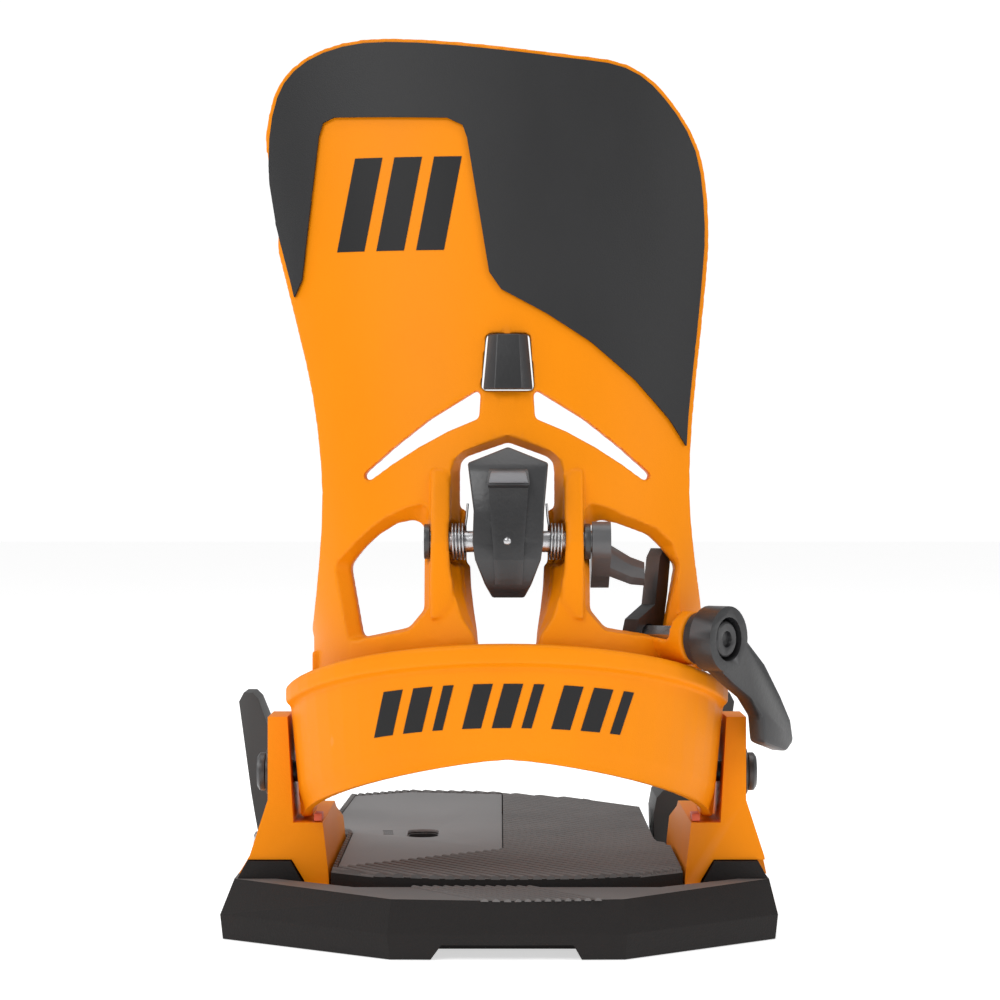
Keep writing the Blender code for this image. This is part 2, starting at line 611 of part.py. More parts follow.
TAB = [(-62.2, 182.6), (-59.5, 188.6), (-54.9, 231), (-53.7, 235), (-50.5, 236.5), (-17.3, 235.5), (-12.8, 233.3),
       (-11.5, 229.5), (-5.1, 190), (-1.7, 185), (11.1, 178.1), (23.8, 169.9), (36.4, 159.1), (46.2, 148.1),
       (52.1, 139)]
CRESCENT = [(-7.4, 156.5), (-12.4, 153.4), (-21.8, 147.6), (-31.5, 140.0), (-40.6, 132.1), (-39.8, 130.5), (-38.4, 130.7),
            (-32.0, 135.3), (-24.8, 139.9), (-16.5, 144.4), (-7.9, 148.0)]
SIDE_WINDOW = [(-23.2, 94.4), (-23.2, 117.2), (-24.6, 118.8), (-26.6, 119.3), (-31.0, 118.4), (-36.2, 115.2),
               (-40.3, 111.5), (-44.0, 106.9), (-44.3, 105.2), (-40.8, 86.9), (-40.1, 86.3), (-27.3, 89.4)]
SIDE_WINDOW_REAR = [(-21.6, 95.0), (-21.6, 122.6), (-23.0, 124.3), (-27.4, 123.3), (-33.8, 120.3), (-38.6, 116.9),
                    (-43.6, 112.2), (-48.3, 107.3), (-48.6, 104.5), (-44.9, 86.2), (-44.2, 85.4), (-27.0, 88.7)]
# Half outlines of the latch's window from its top down: the opening, and the wider mouth on the rear face.
LATCH_WINDOW_HALF = [(0.3, 141.2), (-11.5, 137.1), (-13.0, 135.4), (-YOKE_INNER, 133.0), (-YOKE_INNER, 107.0),
                     (-13.2, 105.0), (-12.6, 100.5), (-11.0, 94.5), (-8.6, 88.0), (-7.8, 84.0), (-7.6, 79.0)]
LATCH_MOUTH_HALF = [(0.3, 143.3), (-12.6, 138.6), (-15.0, 136.2), (-15.9, 133.0), (-15.9, 107.5),
                    (-15.6, 105.0), (-14.8, 99.0), (-12.6, 92.6), (-9.2, 87.5), (-8.0, 84.0), (-7.6, 79.0)]
INSERT_SLOT = [(-7.3, 155.9), (-5.8, 172.2), (6.3, 172.2), (7.7, 155.9)]


def highback(mats, parent):
    """Curved shell with ears on the pivots, the latch yoke and its windows."""
    patch = []
    rows = 26
    columns = 20
    low, high = SHELL_BOTTOM_Z, 266.0
    for row in range(rows + 1):
        z = low + (high - low) * row / rows
        angles = shell_angles(z, columns)
        back = [shell_point(a, z) for a in angles]
        front = [shell_point(a, z, shell_wall(z)) for a in reversed(angles)]
        patch.append(back + front)
    shell = part("highback_shell", Solid().loft(patch), mats["orange"], PIVOT, parent)
    combine(shell, Solid().prism(silhouette(), "Y", -160, 20), "INTERSECT")

    joined = Solid()
    for side in (-1, 1):
        wall = sorted((side * (SHELL_HALF_WIDTH - FIT * 0.5), side * (SHELL_HALF_WIDTH - EAR_WALL)))
        ear = arc((PIVOT_Y, PIVOT_Z), EAR_RADIUS, 180, 360, 12) + [(PIVOT_Y + 7, 74), (PIVOT_Y - 8, 82)]
        joined.prism(ear, "X", wall[0], wall[1])
        inner, outer = sorted((side * YOKE_INNER, side * YOKE_OUTER))
        yoke = [(-119.8, 92), (-118.6, 113), (-109.6, 134), (-105.0, 131), (-103.8, 120), (-103.8, 106), (-110, 92)]
        joined.prism(yoke, "X", inner, outer)
    combine(shell, joined, "UNION")
    boss = Solid().cylinder(LEVER_BASE + LEVER_AXIS * -6.5, LEVER_AXIS, 14.5, 7.6, 24)
    combine(shell, boss, "UNION")

    cutter = Solid()
    for outline in (CRESCENT, mirrored(CRESCENT), SIDE_WINDOW, mirrored(widen_right(SIDE_WINDOW)),
                    whole(LATCH_WINDOW_HALF), INSERT_SLOT):
        cutter.prism(fitted(outline), "Y", -150, 0)
    combine(shell, cutter, "DIFFERENCE")
    for mouth, opening in ((SIDE_WINDOW_REAR, SIDE_WINDOW),
                           (mirrored(widen_right(SIDE_WINDOW_REAR)), mirrored(widen_right(SIDE_WINDOW))),
                           (whole(LATCH_MOUTH_HALF), whole(LATCH_WINDOW_HALF))):
        combine(shell, chamfer_cutter(mouth, opening), "DIFFERENCE")
    combine(shell, latch_cheeks(), "UNION")
    bores = Solid()
    bores.cylinder(AXLE - X_AXIS * (YOKE_OUTER + 1), X_AXIS, 2 * (YOKE_OUTER + 1), AXLE_RADIUS + FIT)
    for side in (-1, 1):
        start = AXLE + X_AXIS * side * 11.0
        combine(shell, Solid().cylinder(start, X_AXIS * side, 5.2, SPRING_SEAT_RADIUS), "DIFFERENCE")
        bores.cylinder(AXLE + X_AXIS * side * (YOKE_OUTER - 0.01), X_AXIS * side, 8.01, HUB_SEAT_RADIUS)
        bores.cylinder((side * (SHELL_HALF_WIDTH - 11.2), PIVOT_Y, PIVOT_Z), X_AXIS * side, 20, PIVOT_RADIUS + FIT)
    combine(shell, bores, "DIFFERENCE")
    shaft_bore = Solid().cylinder(LEVER_BASE - LEVER_AXIS * 30, LEVER_AXIS, 60, SHAFT_RADIUS + FIT)
    combine(shell, shaft_bore, "DIFFERENCE")
    return shell


def shell_angles(z, columns):
    """How far round the heel the shell sheet reaches at one height."""
    rise = max(0.0, z - SHELL_STRAIGHT_Z)
    reach = math.radians(90.0) - math.radians(36.0) * min(1.0, rise / 120.0)
    return [-reach + 2 * reach * i / columns for i in range(columns + 1)]


def widen_right(outline):
    """The outer side's window reaches a little further out for the release cam."""
    return [(min(a, max(a - CAM_ROOM, -48.6)) if a < -35 else a, b) for a, b in outline]


def whole(half):
    """A left-hand half outline with its likeness on the right; the first point lies in the middle."""
    return half + [(-a, b) for a, b in reversed(half[1:])]


def skin_at(x, z, depth):
    """The point at one depth below the rear face that is seen at x and z from the rear."""
    half = SHELL_HALF_WIDTH + SHELL_FLARE * max(0.0, z - SHELL_STRAIGHT_Z)
    return Vector((x, shell_point(math.asin(x / half), z).y + depth, z))


def chamfer_cutter(mouth, opening):
    """Cuts a sloping rim from a wide outline on the rear face to a narrower one inside the wall."""
    rings = []
    for outline, depth in ((mouth, -8.0), (mouth, 0.4), (opening, RIM_DEPTH), (opening, RIM_DEPTH + 0.5)):
        rings.append([skin_at(x, z, depth) for x, z in fitted(outline)])
    return Solid().loft(rings)


def latch_cheeks():
    """Walls that close in on the latch below its axle, and a web behind each spring."""
    solid = Solid()
    for side in (-1, 1):
        rings = []
        for z, near, far in ((80.0, 7.9, 7.8), (88.0, 8.7, 8.4), (94.5, 11.1, 9.4), (100.5, 12.7, 10.1),
                             (106.6, 13.4, 10.4)):
            y = skin_at(0, z, 0).y
            rings.append([Vector((side * a, y + b, z)) for a, b in
                          ((near, RIM_DEPTH), (far, 13.0), (far, 17.0), (14.6, 17.0), (14.6, RIM_DEPTH))])
        solid.loft(rings)
        low, high = sorted((side * 11.4, side * (YOKE_INNER + 0.8)))
        solid.prism([(-106.3, 104.0), (-106.3, 122.4), (-102.6, 122.4), (-102.6, 104.0)], "X", low, high)
    return solid


def thin_sheet(name, mat, parent, outer, inner, outline, low, high, columns=18, rows=16):
    """A skin that follows the shell between two insets, trimmed to an outline."""
    rings = []
    for row in range(rows + 1):
        z = low + (high - low) * row / rows
        angles = shell_angles(z, columns)
        rings.append([shell_point(a, z, outer(z)) for a in angles]
                     + [shell_point(a, z, inner(z)) for a in reversed(angles)])
    sheet = part(name, Solid().loft(rings), mat, PIVOT, parent)
    combine(sheet, Solid().prism(outline, "Y", -160, 20), "INTERSECT")
    return sheet


def highback_trim(mats, parent):
    """The dark cover on the rear and the foam pad on the boot side."""
    cover = thin_sheet("highback_cover", mats["dark"], parent, lambda z: -FIT - 0.8, lambda z: -FIT,
                       silhouette(1.3), 130, 266)
    tab = fitted([(-90, 120), (-90, 182.6)] + TAB + [(70, 125), (70, 120)])
    combine(cover, Solid().prism(tab, "Y", -160, 20), "DIFFERENCE")
    pad_outline = [(a * 0.86, b) for a, b in silhouette(9)]
    thin_sheet("highback_pad", mats["grey"], parent, lambda z: shell_wall(z) + FIT,
               lambda z: shell_wall(z) + 4.0, [(a, max(b, 180.0)) for a, b in pad_outline if b > 170], 176, 266)


def pivot_pins(mats):
    """Pins that carry the highback's ears in the heelcup's arms."""
    for side, word in ((-1, "left"), (1, "right")):
        inner = SHELL_HALF_WIDTH - EAR_WALL - FIT
        place = Vector((side * inner, PIVOT_Y, PIVOT_Z))
        pin = Solid().turned([(-1.8, 3.8), (-1.2, 4.4), (0, 4.4), (0, PIVOT_RADIUS), (8.2, PIVOT_RADIUS)],
                             place, X_AXIS * side)
        part(f"highback_pin_{word}", pin, mats["steel"], place)


def lean_slider(mats, parent):
    """Black push piece in the slot above the tongue, with three facets on its rear."""
    low_z, high_z = 156.3, 171.9
    rings = []
    for z, half_low in ((low_z, 6.95), (high_z, 5.55)):
        rear = shell_point(0, z).y
        centre = 0.25
        rings.append([Vector((centre - half_low, rear + 6.0, z)), Vector((centre - half_low, rear - 1.0, z)),
                      Vector((centre - half_low * 0.55, rear - 3.6, z)), Vector((centre + half_low * 0.55, rear - 3.6, z)),
                      Vector((centre + half_low, rear - 1.0, z)), Vector((centre + half_low, rear + 6.0, z))])
    return part("lean_slider", Solid().loft(rings), mats["black"], (0, shell_point(0, 164).y, 164), parent)


# ---------------------------------------------------------------- heel latch
def heel_latch(mats, parent):
    """Black catch that hooks the boot's heel; seen from the rear it is a shield."""
    shield = [(0.2, 139.8), (-11.0, 135.3), (-9.3, 122), (-9.6, 113), (-8.9, 108.5), (-6.3, 101.8), (-4.2, 97.8),
              (4.8, 97.8), (6.8, 101.8), (9.3, 108.5), (9.9, 113), (10.2, 122), (11.4, 135.3)]
    profile = [(2.5, 26.8), (-3.0, 26.8), (-8.5, 19), (-10.5, 8), (-10.5, -5), (-7.0, -13), (-1.5, -16.2), (8.0, -13.5),
               (15.0, -6.5), (13.0, -2.0), (7.0, 0.5), (6.5, 10), (4.5, 23)]
    side_view = [(AXLE_Y + a, AXLE_Z + b) for a, b in profile]
    latch = part("heel_latch", Solid().prism(side_view, "X", -20, 20), mats["black"], AXLE, parent)
    combine(latch, Solid().prism(shield, "Y", AXLE_Y - 30, AXLE_Y + 30), "INTERSECT")
    bevel(latch, 1.0, 2)
    combine(latch, Solid().cylinder(AXLE - X_AXIS * 15, X_AXIS, 30, AXLE_RADIUS + FIT), "DIFFERENCE")
    seat = AXLE + Vector((0, -10.5, 0.3))
    combine(latch, Solid().cylinder(seat + Vector((0, 2.5, 0)), Vector((0, -1, 0)), 6, 1.9, 12), "DIFFERENCE")
    rivet = Solid().turned([(-2.1, 1.5), (0, 1.5), (0.7, 1.2), (1.2, 0.6)], seat, Vector((0, -1, 0)), 12)
    part("latch_rivet", rivet, mats["steel"], seat, parent)
    return latch


def spring_wire(start, side, turns):
    """Points along a coil about the axle, with a tang up beside the latch."""
    points = []
    steps = 14
    for i in range(turns * steps + 1):
        angle = 2 * math.pi * i / steps
        points.append(start + Vector((side * SPRING_PITCH * i / steps, SPRING_MEAN_RADIUS * math.sin(angle),
                                      SPRING_MEAN_RADIUS * math.cos(angle))))
    return points


def swept(points, radius, sides):
    """A round wire along a row of points."""
    rings = []
    for i, point in enumerate(points):
        along = (points[min(i + 1, len(points) - 1)] - points[max(i - 1, 0)]).normalized()
        first = along.cross(X_AXIS).normalized()
        second = along.cross(first).normalized()
        rings.append([point + radius * (math.cos(a) * first + math.sin(a) * second)
                      for a in (2 * math.pi * k / sides for k in range(sides))])
    return Solid().loft(rings)


def latch_train(mats, parent):
    """Axle, its two springs, the cap on its inner end and the crank on its outer end."""
    left_end = -YOKE_OUTER - CAP_THICKNESS - FIT
    right_end = YOKE_OUTER + CRANK_GAP + CRANK_THICKNESS - 0.4
    axle = Solid().cylinder(AXLE + X_AXIS * left_end, X_AXIS, right_end - left_end, AXLE_RADIUS)
    part("latch_axle", axle, mats["steel"], AXLE, parent)
    for side, word in ((-1, "left"), (1, "right")):
        start = AXLE + X_AXIS * side * 11.6
        coil = swept(spring_wire(start, side, SPRING_TURNS), SPRING_WIRE, 6)
        part(f"latch_spring_{word}", coil, mats["steel"], AXLE, parent)
    cap_place = AXLE + X_AXIS * (-YOKE_OUTER - FIT)
    cap = Solid().ring(cap_place, -X_AXIS, CAP_THICKNESS, AXLE_RADIUS + FIT, 4.9)
    part("axle_cap", cap, mats["black"], AXLE, parent)

    near, far = YOKE_OUTER + CRANK_GAP, YOKE_OUTER + CRANK_GAP + CRANK_THICKNESS
    radius_hub, radius_end = CRANK_HUB_RADIUS, 4.0
    offset = Vector((CRANK_END.y - AXLE_Y, CRANK_END.z - AXLE_Z))
    angle = math.degrees(math.atan2(offset.y, offset.x))
    spread = math.degrees(math.acos((radius_hub - radius_end) / offset.length))
    outline = arc((AXLE_Y, AXLE_Z), radius_hub, angle + spread, angle + 360 - spread, 18)
    outline += arc((CRANK_END.y, CRANK_END.z), radius_end, angle - spread, angle + spread, 8)
    crank = part("release_crank", Solid().prism(outline, "X", near, far), mats["black"], AXLE, parent)
    link = []
    reach = CRANK_END.x + 1.0 - near - 0.6
    for way, toward_axle, radius in ((0.0, 0.45, 5.0), (0.312925, 0.42, 4.9), (0.727891, 0.1, 4.2),
                                     (1.0, 0.0, CRANK_LINK_RADIUS)):
        x = near + 0.6 + reach * way
        centre = CRANK_END.lerp(AXLE, toward_axle)
        link.append([Vector((x, centre.y + a, centre.z + b)) for a, b in arc((0, 0), radius, 22.5, 337.5, 7)])
    combine(crank, Solid().loft(link), "UNION")
    combine(crank, Solid().cylinder(AXLE + X_AXIS * 20, X_AXIS, 20, AXLE_RADIUS + FIT), "DIFFERENCE")
    washer = Solid().ring(AXLE + X_AXIS * (YOKE_OUTER + FIT), X_AXIS, 1.7, AXLE_RADIUS + FIT, 5.0)
    part("axle_washer", washer, mats["black"], AXLE, parent)


# ---------------------------------------------------------------- release lever
def lever_matrix(distance=0.0):
    """Takes (side, height, along) coordinates to the lever's plane."""
    place = LEVER_BASE + LEVER_AXIS * distance
    matrix = Matrix((LEVER_SIDE, Z_AXIS, LEVER_AXIS)).transposed().to_4x4()
    matrix.translation = place
    return matrix


def release_lever(mats, parent):
    """Curved lever with its flange, hexagonal shaft, screw and cam."""
    arm = [(-3.3, -8.6), (4.6, -13.2), (12.5, -17.3), (18, -22.7), (19.1, -30.1), (30.8, -33.4), (34.5, -30.6),
           (32.9, -24.4), (27.7, -17.2), (19.6, -7.7), (9.0, 0.6), (5.5, 7.0), (0, 8.6)]
    lever = part("release_lever", Solid().prism(arm, "Z", HUB_START + 0.6, HUB_END - 0.8).moved(lever_matrix()),
                 mats["black"], LEVER_BASE, parent)
    bevel(lever, 1.2, 2)
    hub = Solid().cylinder((0, 0, HUB_START), Z_AXIS, HUB_END - HUB_START, HUB_RADIUS, 32).moved(lever_matrix())
    combine(lever, hub, "UNION")
    bore = Solid().turned([(HUB_START - 1, SHAFT_RADIUS + FIT), (HUB_END - 4.2, SHAFT_RADIUS + FIT),
                           (HUB_END - 4.2, 6.2), (HUB_END + 1, 6.2)], (0, 0, 0), Z_AXIS, 24).moved(lever_matrix())
    combine(lever, bore, "DIFFERENCE")

    flange = Solid().ring((0, 0, 8.4), Z_AXIS, HUB_START - 8.4 - FIT, SHAFT_RADIUS + FIT, 7.4, 28).moved(lever_matrix())
    part("lever_flange", flange, mats["black"], LEVER_BASE, parent)
    shaft = Solid().cylinder((0, 0, CAM_PLANE - 3.0), Z_AXIS, HUB_END - 2.8 - CAM_PLANE + 3.0, SHAFT_RADIUS, 6)
    part("release_shaft", shaft.moved(lever_matrix()), mats["steel"], LEVER_BASE, parent)
    screw = Solid().turned([(HUB_END - 2.4, 5.0), (HUB_END - 1.0, 5.0), (HUB_END - 0.6, 4.4), (HUB_END - 0.6, 2.3),
                            (HUB_END - 1.8, 2.1)], (0, 0, 0), Z_AXIS, 18).moved(lever_matrix())
    part("lever_screw", screw, mats["steel"], LEVER_BASE, parent)

    finger = arc((0, 0), 6.4, 160, 340, 10) + [(9.0, 12.0), (10.5, 22.0), (7.5, 25.0), (5.4, 22.5), (3.0, 9.0), (-5.0, 5.0)]
    cam = Solid().prism(finger, "Z", CAM_PLANE - 2.6, CAM_PLANE + 2.2).moved(lever_matrix())
    cam_part = part("release_cam", cam, mats["dark"], LEVER_BASE, parent)
    hole = Solid().cylinder((0, 0, CAM_PLANE - 5), Z_AXIS, 10, SHAFT_RADIUS + FIT, 18).moved(lever_matrix())
    combine(cam_part, hole, "DIFFERENCE")


def clear_scene():
    for obj in list(bpy.data.objects):
        bpy.data.objects.remove(obj)


def main():
    clear_scene()
    mats = make_materials()
    base_cushion(mats)
    chassis(mats)
    footbed(mats)
    toe_ramp(mats)
    mounting_disc(mats)
    heelcup(mats)
    cup_fasteners(mats)
    toe_hooks(mats)
    pivot_pins(mats)
    fold = joint_empty("highback_fold", PIVOT)
    highback(mats, fold)
    highback_trim(mats, fold)
    lean_slider(mats, fold)
    turn = joint_empty("latch_turn", AXLE)
    turn.parent = fold
    turn.matrix_parent_inverse = fold.matrix_world.inverted()
    bpy.context.view_layer.update()
    heel_latch(mats, turn)
    latch_train(mats, turn)
    release = joint_empty("release_turn", LEVER_BASE)
    release_lever(mats, release)
    bpy.context.view_layer.update()


main()
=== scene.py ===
import json
import math

import bpy
import numpy as np
from bpy.props import FloatProperty, FloatVectorProperty, IntProperty, PointerProperty
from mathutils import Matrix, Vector


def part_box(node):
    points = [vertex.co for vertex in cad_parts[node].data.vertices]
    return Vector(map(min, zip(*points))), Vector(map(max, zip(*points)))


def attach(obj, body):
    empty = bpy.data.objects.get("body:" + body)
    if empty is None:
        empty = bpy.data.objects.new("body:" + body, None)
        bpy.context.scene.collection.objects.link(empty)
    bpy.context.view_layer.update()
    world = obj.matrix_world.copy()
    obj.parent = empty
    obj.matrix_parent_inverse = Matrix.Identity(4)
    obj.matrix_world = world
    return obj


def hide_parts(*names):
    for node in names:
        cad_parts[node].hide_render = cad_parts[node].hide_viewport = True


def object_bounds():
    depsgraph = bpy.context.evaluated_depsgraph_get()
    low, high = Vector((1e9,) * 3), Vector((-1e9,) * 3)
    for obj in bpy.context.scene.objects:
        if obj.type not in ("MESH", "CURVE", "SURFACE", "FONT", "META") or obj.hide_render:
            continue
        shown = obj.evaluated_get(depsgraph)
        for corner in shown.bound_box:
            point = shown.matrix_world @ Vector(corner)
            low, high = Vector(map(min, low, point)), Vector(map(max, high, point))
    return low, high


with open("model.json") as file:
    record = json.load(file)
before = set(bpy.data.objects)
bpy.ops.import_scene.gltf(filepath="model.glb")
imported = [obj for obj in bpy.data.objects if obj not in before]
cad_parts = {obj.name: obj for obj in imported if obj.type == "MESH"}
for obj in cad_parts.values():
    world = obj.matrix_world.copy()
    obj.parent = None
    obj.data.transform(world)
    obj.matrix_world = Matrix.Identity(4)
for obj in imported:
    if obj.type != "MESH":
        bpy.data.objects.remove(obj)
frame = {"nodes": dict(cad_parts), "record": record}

bl_info = {
    "name": "Step-in snowboard binding",
    "version": (1, 0, 0),
    "blender": (4, 5, 0),
    "location": "View3D > Sidebar > Binding",
    "description": "Finishes the binding's pieces and sets up a plain studio round them",
    "category": "Object",
}

CAD_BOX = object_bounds()
NODES = frame["nodes"]
BODY_OF = {node: body for body, nodes in frame["record"]["behaviour"]["bodies"].items() for node in nodes}
SLOT_OF = {row["node"]: row["material_slot"] for row in frame["record"]["subparts"]}
MM = 0.001

# The highback's skin, in millimetres: it is an ellipse in plan that leans, widens and thins as it rises.
SKIN_REAR_Y = -123.5
SKIN_STRAIGHT_Z = 85.0
SKIN_LEAN = 0.26
SKIN_HALF_WIDTH = 56.2
SKIN_FLARE = 0.22
SKIN_DEPTH = 48.0
SKIN_LOW_WALL, SKIN_TOP_WALL = 7.0, 4.5
SKIN_THINS_FROM, SKIN_THINS_OVER = 140.0, 50.0

# The heelcup's band, in millimetres.
CUP_HALF_WIDTH = 62.5
CUP_DEPTH = 51.0
CUP_BEND_Y = -80.0
CUP_TOP_Z, CUP_LOW_Z = 85.7, 53.7
CUP_TOP_FALL = 0.34          # how fast the top edge falls towards the toes
CUP_BAND_LEAN = 2.1
CUP_LIP = 6.2                # from the top edge to the band below the lip
CUP_DROP, CUP_DROP_OVER, CUP_DROP_POWER = 22.0, 56.0, 0.7    # how the lower edge falls towards the toes
CREASE = 0.2                 # height of the lower crease, as a share of the wall
CREASE_SLOPE = 1.5           # how far the wall leans in below the crease
BAR_SPAN, BAR_SLANT = 75.0, 3.4
BAR_FOOT, BAR_HEIGHT = 62.6, 12.2

LEDGE_TOP = 16 * MM
RIB_TURN = math.radians(-54.5)
CUP_VOXEL = 0.52 * MM
SLIDER_ROUND = 0.35 * MM
WIRE_RADIUS = 0.35
TANG = ((11.6, 0.0, 4.9), (11.3, -0.6, 7.0), (11.0, -1.2, 10.5))    # sideways, back and up from the axle
PAD_HEIGHTS = (176, 184, 214, 235, 250, 258)
PAD_LEFT = (-0.60, -0.63, -0.655, -0.61, -0.49, -0.40)              # the pad's edges, as angles
PAD_RIGHT = (0.53, 0.54, 0.48, 0.41, 0.25, 0.18)
PAD_GROOVES = (0.27, 0.5, 0.73)

ROOM_LIGHT = 0.42
FLOOR_GLOW = 0.6
LAMPS = (("key", (-0.9, -1.5, 1.4), 0.9, 14.0), ("fill", (1.4, -1.0, 0.9), 0.8, 6.0),
         ("top", (0.0, 0.1, 1.8), 1.2, 9.0), ("rim", (-1.4, 0.5, 0.6), 0.7, 4.0))


def low(node):
    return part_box(node)[0]


def high(node):
    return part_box(node)[1]


FOOTBED_TOP = high("footbed").z
AXLE = (low("latch_axle") + high("latch_axle")) / 2


# ------------------------------------------------------------------ settings
class BindingSizes(bpy.types.PropertyGroup):
    """Sizes of the finishing work, none of which changes the binding's own size."""

    edge: FloatProperty(
        name="Edge round", description="Round on a moulded edge", default=0.5 * MM, unit="LENGTH")
    fine_edge: FloatProperty(
        name="Fine edge", description="Round on a small or machined edge", default=0.25 * MM, unit="LENGTH")
    voxel: FloatProperty(
        name="Shell voxel", description="Mesh size of the highback", default=0.7 * MM, unit="LENGTH")
    rib_pitch: FloatProperty(
        name="Rib pitch", description="Distance between the footbed's ribs", default=3.3 * MM, unit="LENGTH")
    rib_height: FloatProperty(
        name="Rib height", description="How far a rib stands up", default=0.9 * MM, unit="LENGTH")
    inlay: FloatProperty(
        name="Inlay", description="How far printed shapes stand out", default=0.12 * MM, unit="LENGTH")
    bars: IntProperty(name="Heelcup bars", description="Slanted bars on the heelcup", default=9)


class BindingColours(bpy.types.PropertyGroup):
    """Colours of the finishes, as linear light."""

    orange: FloatVectorProperty(
        name="Orange nylon", description="Highback, heelcup and posts", default=(0.87, 0.258, 0.0015),
        subtype="COLOR")
    cover: FloatVectorProperty(
        name="Cover", description="Dark cover on the highback", default=(0.022, 0.022, 0.023),
        subtype="COLOR")
    hook: FloatVectorProperty(
        name="Dark nylon", description="Toe hooks and disc", default=(0.050, 0.050, 0.050), subtype="COLOR")
    foam: FloatVectorProperty(
        name="Foam", description="Foam base and highback pad", default=(0.013, 0.0115, 0.0112),
        subtype="COLOR")
    pad: FloatVectorProperty(
        name="Pad", description="Smooth pad on the footbed", default=(0.215, 0.205, 0.205), subtype="COLOR")
    grip: FloatVectorProperty(
        name="Grip", description="Ribbed part of the footbed", default=(0.135, 0.125, 0.122), subtype="COLOR")
    black: FloatVectorProperty(
        name="Black metal", description="Latch and lever", default=(0.014, 0.014, 0.015), subtype="COLOR")
    steel: FloatVectorProperty(
        name="Steel", description="Fasteners", default=(0.56, 0.56, 0.57), subtype="COLOR")
    amber: FloatVectorProperty(
        name="Amber rubber", description="Spacer blocks", default=(0.75, 0.10, 0.02), subtype="COLOR")


# ------------------------------------------------------------------ shader maths
class Flow:
    """A shader socket that can be used in sums."""

    def __init__(self, finish, socket):
        self.finish = finish
        self.socket = socket

    def sum_with(self, operation, first, second):
        return self.finish.node("ShaderNodeMath", {"operation": operation}, {0: first, 1: second})

    def __add__(self, other):
        return self.sum_with("ADD", self, other)

    def __sub__(self, other):
        return self.sum_with("SUBTRACT", self, other)

    def __mul__(self, other):
        return self.sum_with("MULTIPLY", self, other)


class Finish:
    """A material that is built up node by node."""

    def __init__(self, name, rough=0.5, metal=0.0, coat=0.0, specular=0.5):
        self.material = bpy.data.materials.new(name)
        self.material.use_nodes = True
        self.tree = self.material.node_tree
        self.tree.nodes.clear()
        self.shader = self.tree.nodes.new("ShaderNodeBsdfPrincipled")
        output = self.tree.nodes.new("ShaderNodeOutputMaterial")
        self.tree.links.new(self.shader.outputs[0], output.inputs[0])
        for name, value in (("Roughness", rough), ("Metallic", metal), ("Coat Weight", coat),
                            ("Specular IOR Level", specular)):
            self.shader.inputs[name].default_value = value
        self.place = self.node("ShaderNodeTexCoord", out="Object")

    def node(self, kind, settings=None, values=None, out=0):
        node = self.tree.nodes.new(kind)
        for key, value in (settings or {}).items():
            setattr(node, key, value)
        for key, value in (values or {}).items():
            self.join(node.inputs[key], value)
        return Flow(self, node.outputs[out])

    def join(self, socket, value):
        if isinstance(value, Flow):
            self.tree.links.new(value.socket, socket)
        else:
            socket.default_value = value

    def noise(self, scale, detail=3.0, stretch=(1, 1, 1), rough=0.5):
        """Cloudy noise with about this many spots to the metre, centred on zero."""
        place = self.node("ShaderNodeMapping", values={"Vector": self.place, "Scale": stretch})
        return self.node("ShaderNodeTexNoise",
                         values={"Vector": place, "Scale": scale, "Detail": detail, "Roughness": rough}) - 0.5

    def cells(self, scale):
        return self.node("ShaderNodeTexVoronoi", values={"Vector": self.place, "Scale": scale})

    def edges(self, gain):
        """Nearly nothing on flat faces, rising along worn edges."""
        ramp = self.node("ShaderNodeMapRange", {"clamp": True},
                         {"Value": self.node("ShaderNodeNewGeometry", out="Pointiness"), "From Min": 0.52,
                          "From Max": 0.62, "To Min": 0.0, "To Max": gain})
        return ramp

    def mix(self, factor, first, second):
        node = self.tree.nodes.new("ShaderNodeMix")
        node.data_type = "RGBA"
        node.clamp_factor = True
        self.join(node.inputs["Factor"], factor)
        for key, value in ((6, first), (7, second)):
            self.join(node.inputs[key], value if isinstance(value, Flow) else (*value, 1.0))
        return Flow(self, node.outputs[2])

    def paint(self, colour=None, rough=None, height=None, relief=0.1 * MM, strength=1.0):
        if colour is not None:
            self.join(self.shader.inputs["Base Color"], colour)
        if rough is not None:
            self.join(self.shader.inputs["Roughness"], rough)
        if height is not None:
            self.join(self.shader.inputs["Normal"], self.node(
                "ShaderNodeBump", values={"Height": height, "Distance": relief, "Strength": strength}))
        return self.material


def shade(colour, factor):
    return tuple(min(1.0, channel * factor) for channel in colour)


def moulded(name, colour, rough, grain=2600.0, relief=0.05 * MM, mottle=0.06, wear=0.25, specular=0.5):
    """Injection-moulded plastic: faint flow marks, a fine spark-eroded grain and paler edges."""
    finish = Finish(name, rough, specular=specular)
    flow = finish.noise(38.0, 4.0, (1, 1, 0.45))
    fine = finish.noise(grain, 2.0)
    body = finish.mix(flow * 3.0 + 0.5, shade(colour, 1 - mottle), shade(colour, 1 + mottle))
    tone = finish.mix(finish.edges(wear), body, tuple(0.7 * c + 0.3 * max(colour) for c in colour))
    return finish.paint(tone, flow * 0.12 + fine * 0.08 + rough, fine * 1.0 + flow * 0.4, relief)


def foam_finish(name, colour, rough=0.78):
    """Closed-cell foam with a fine pored skin."""
    finish = Finish(name, rough, specular=0.25)
    pores = finish.cells(1500.0)
    soft = finish.noise(90.0, 5.0)
    fine = finish.noise(3200.0, 2.0)
    body = finish.mix(soft * 2.2 + 0.5, shade(colour, 0.82), shade(colour, 1.25))
    tone = finish.mix(fine * 0.8 + 0.3, body, shade(colour, 1.6))
    return finish.paint(tone, soft * 0.2 + rough, pores * 0.7 + fine * 0.6, 0.12 * MM)


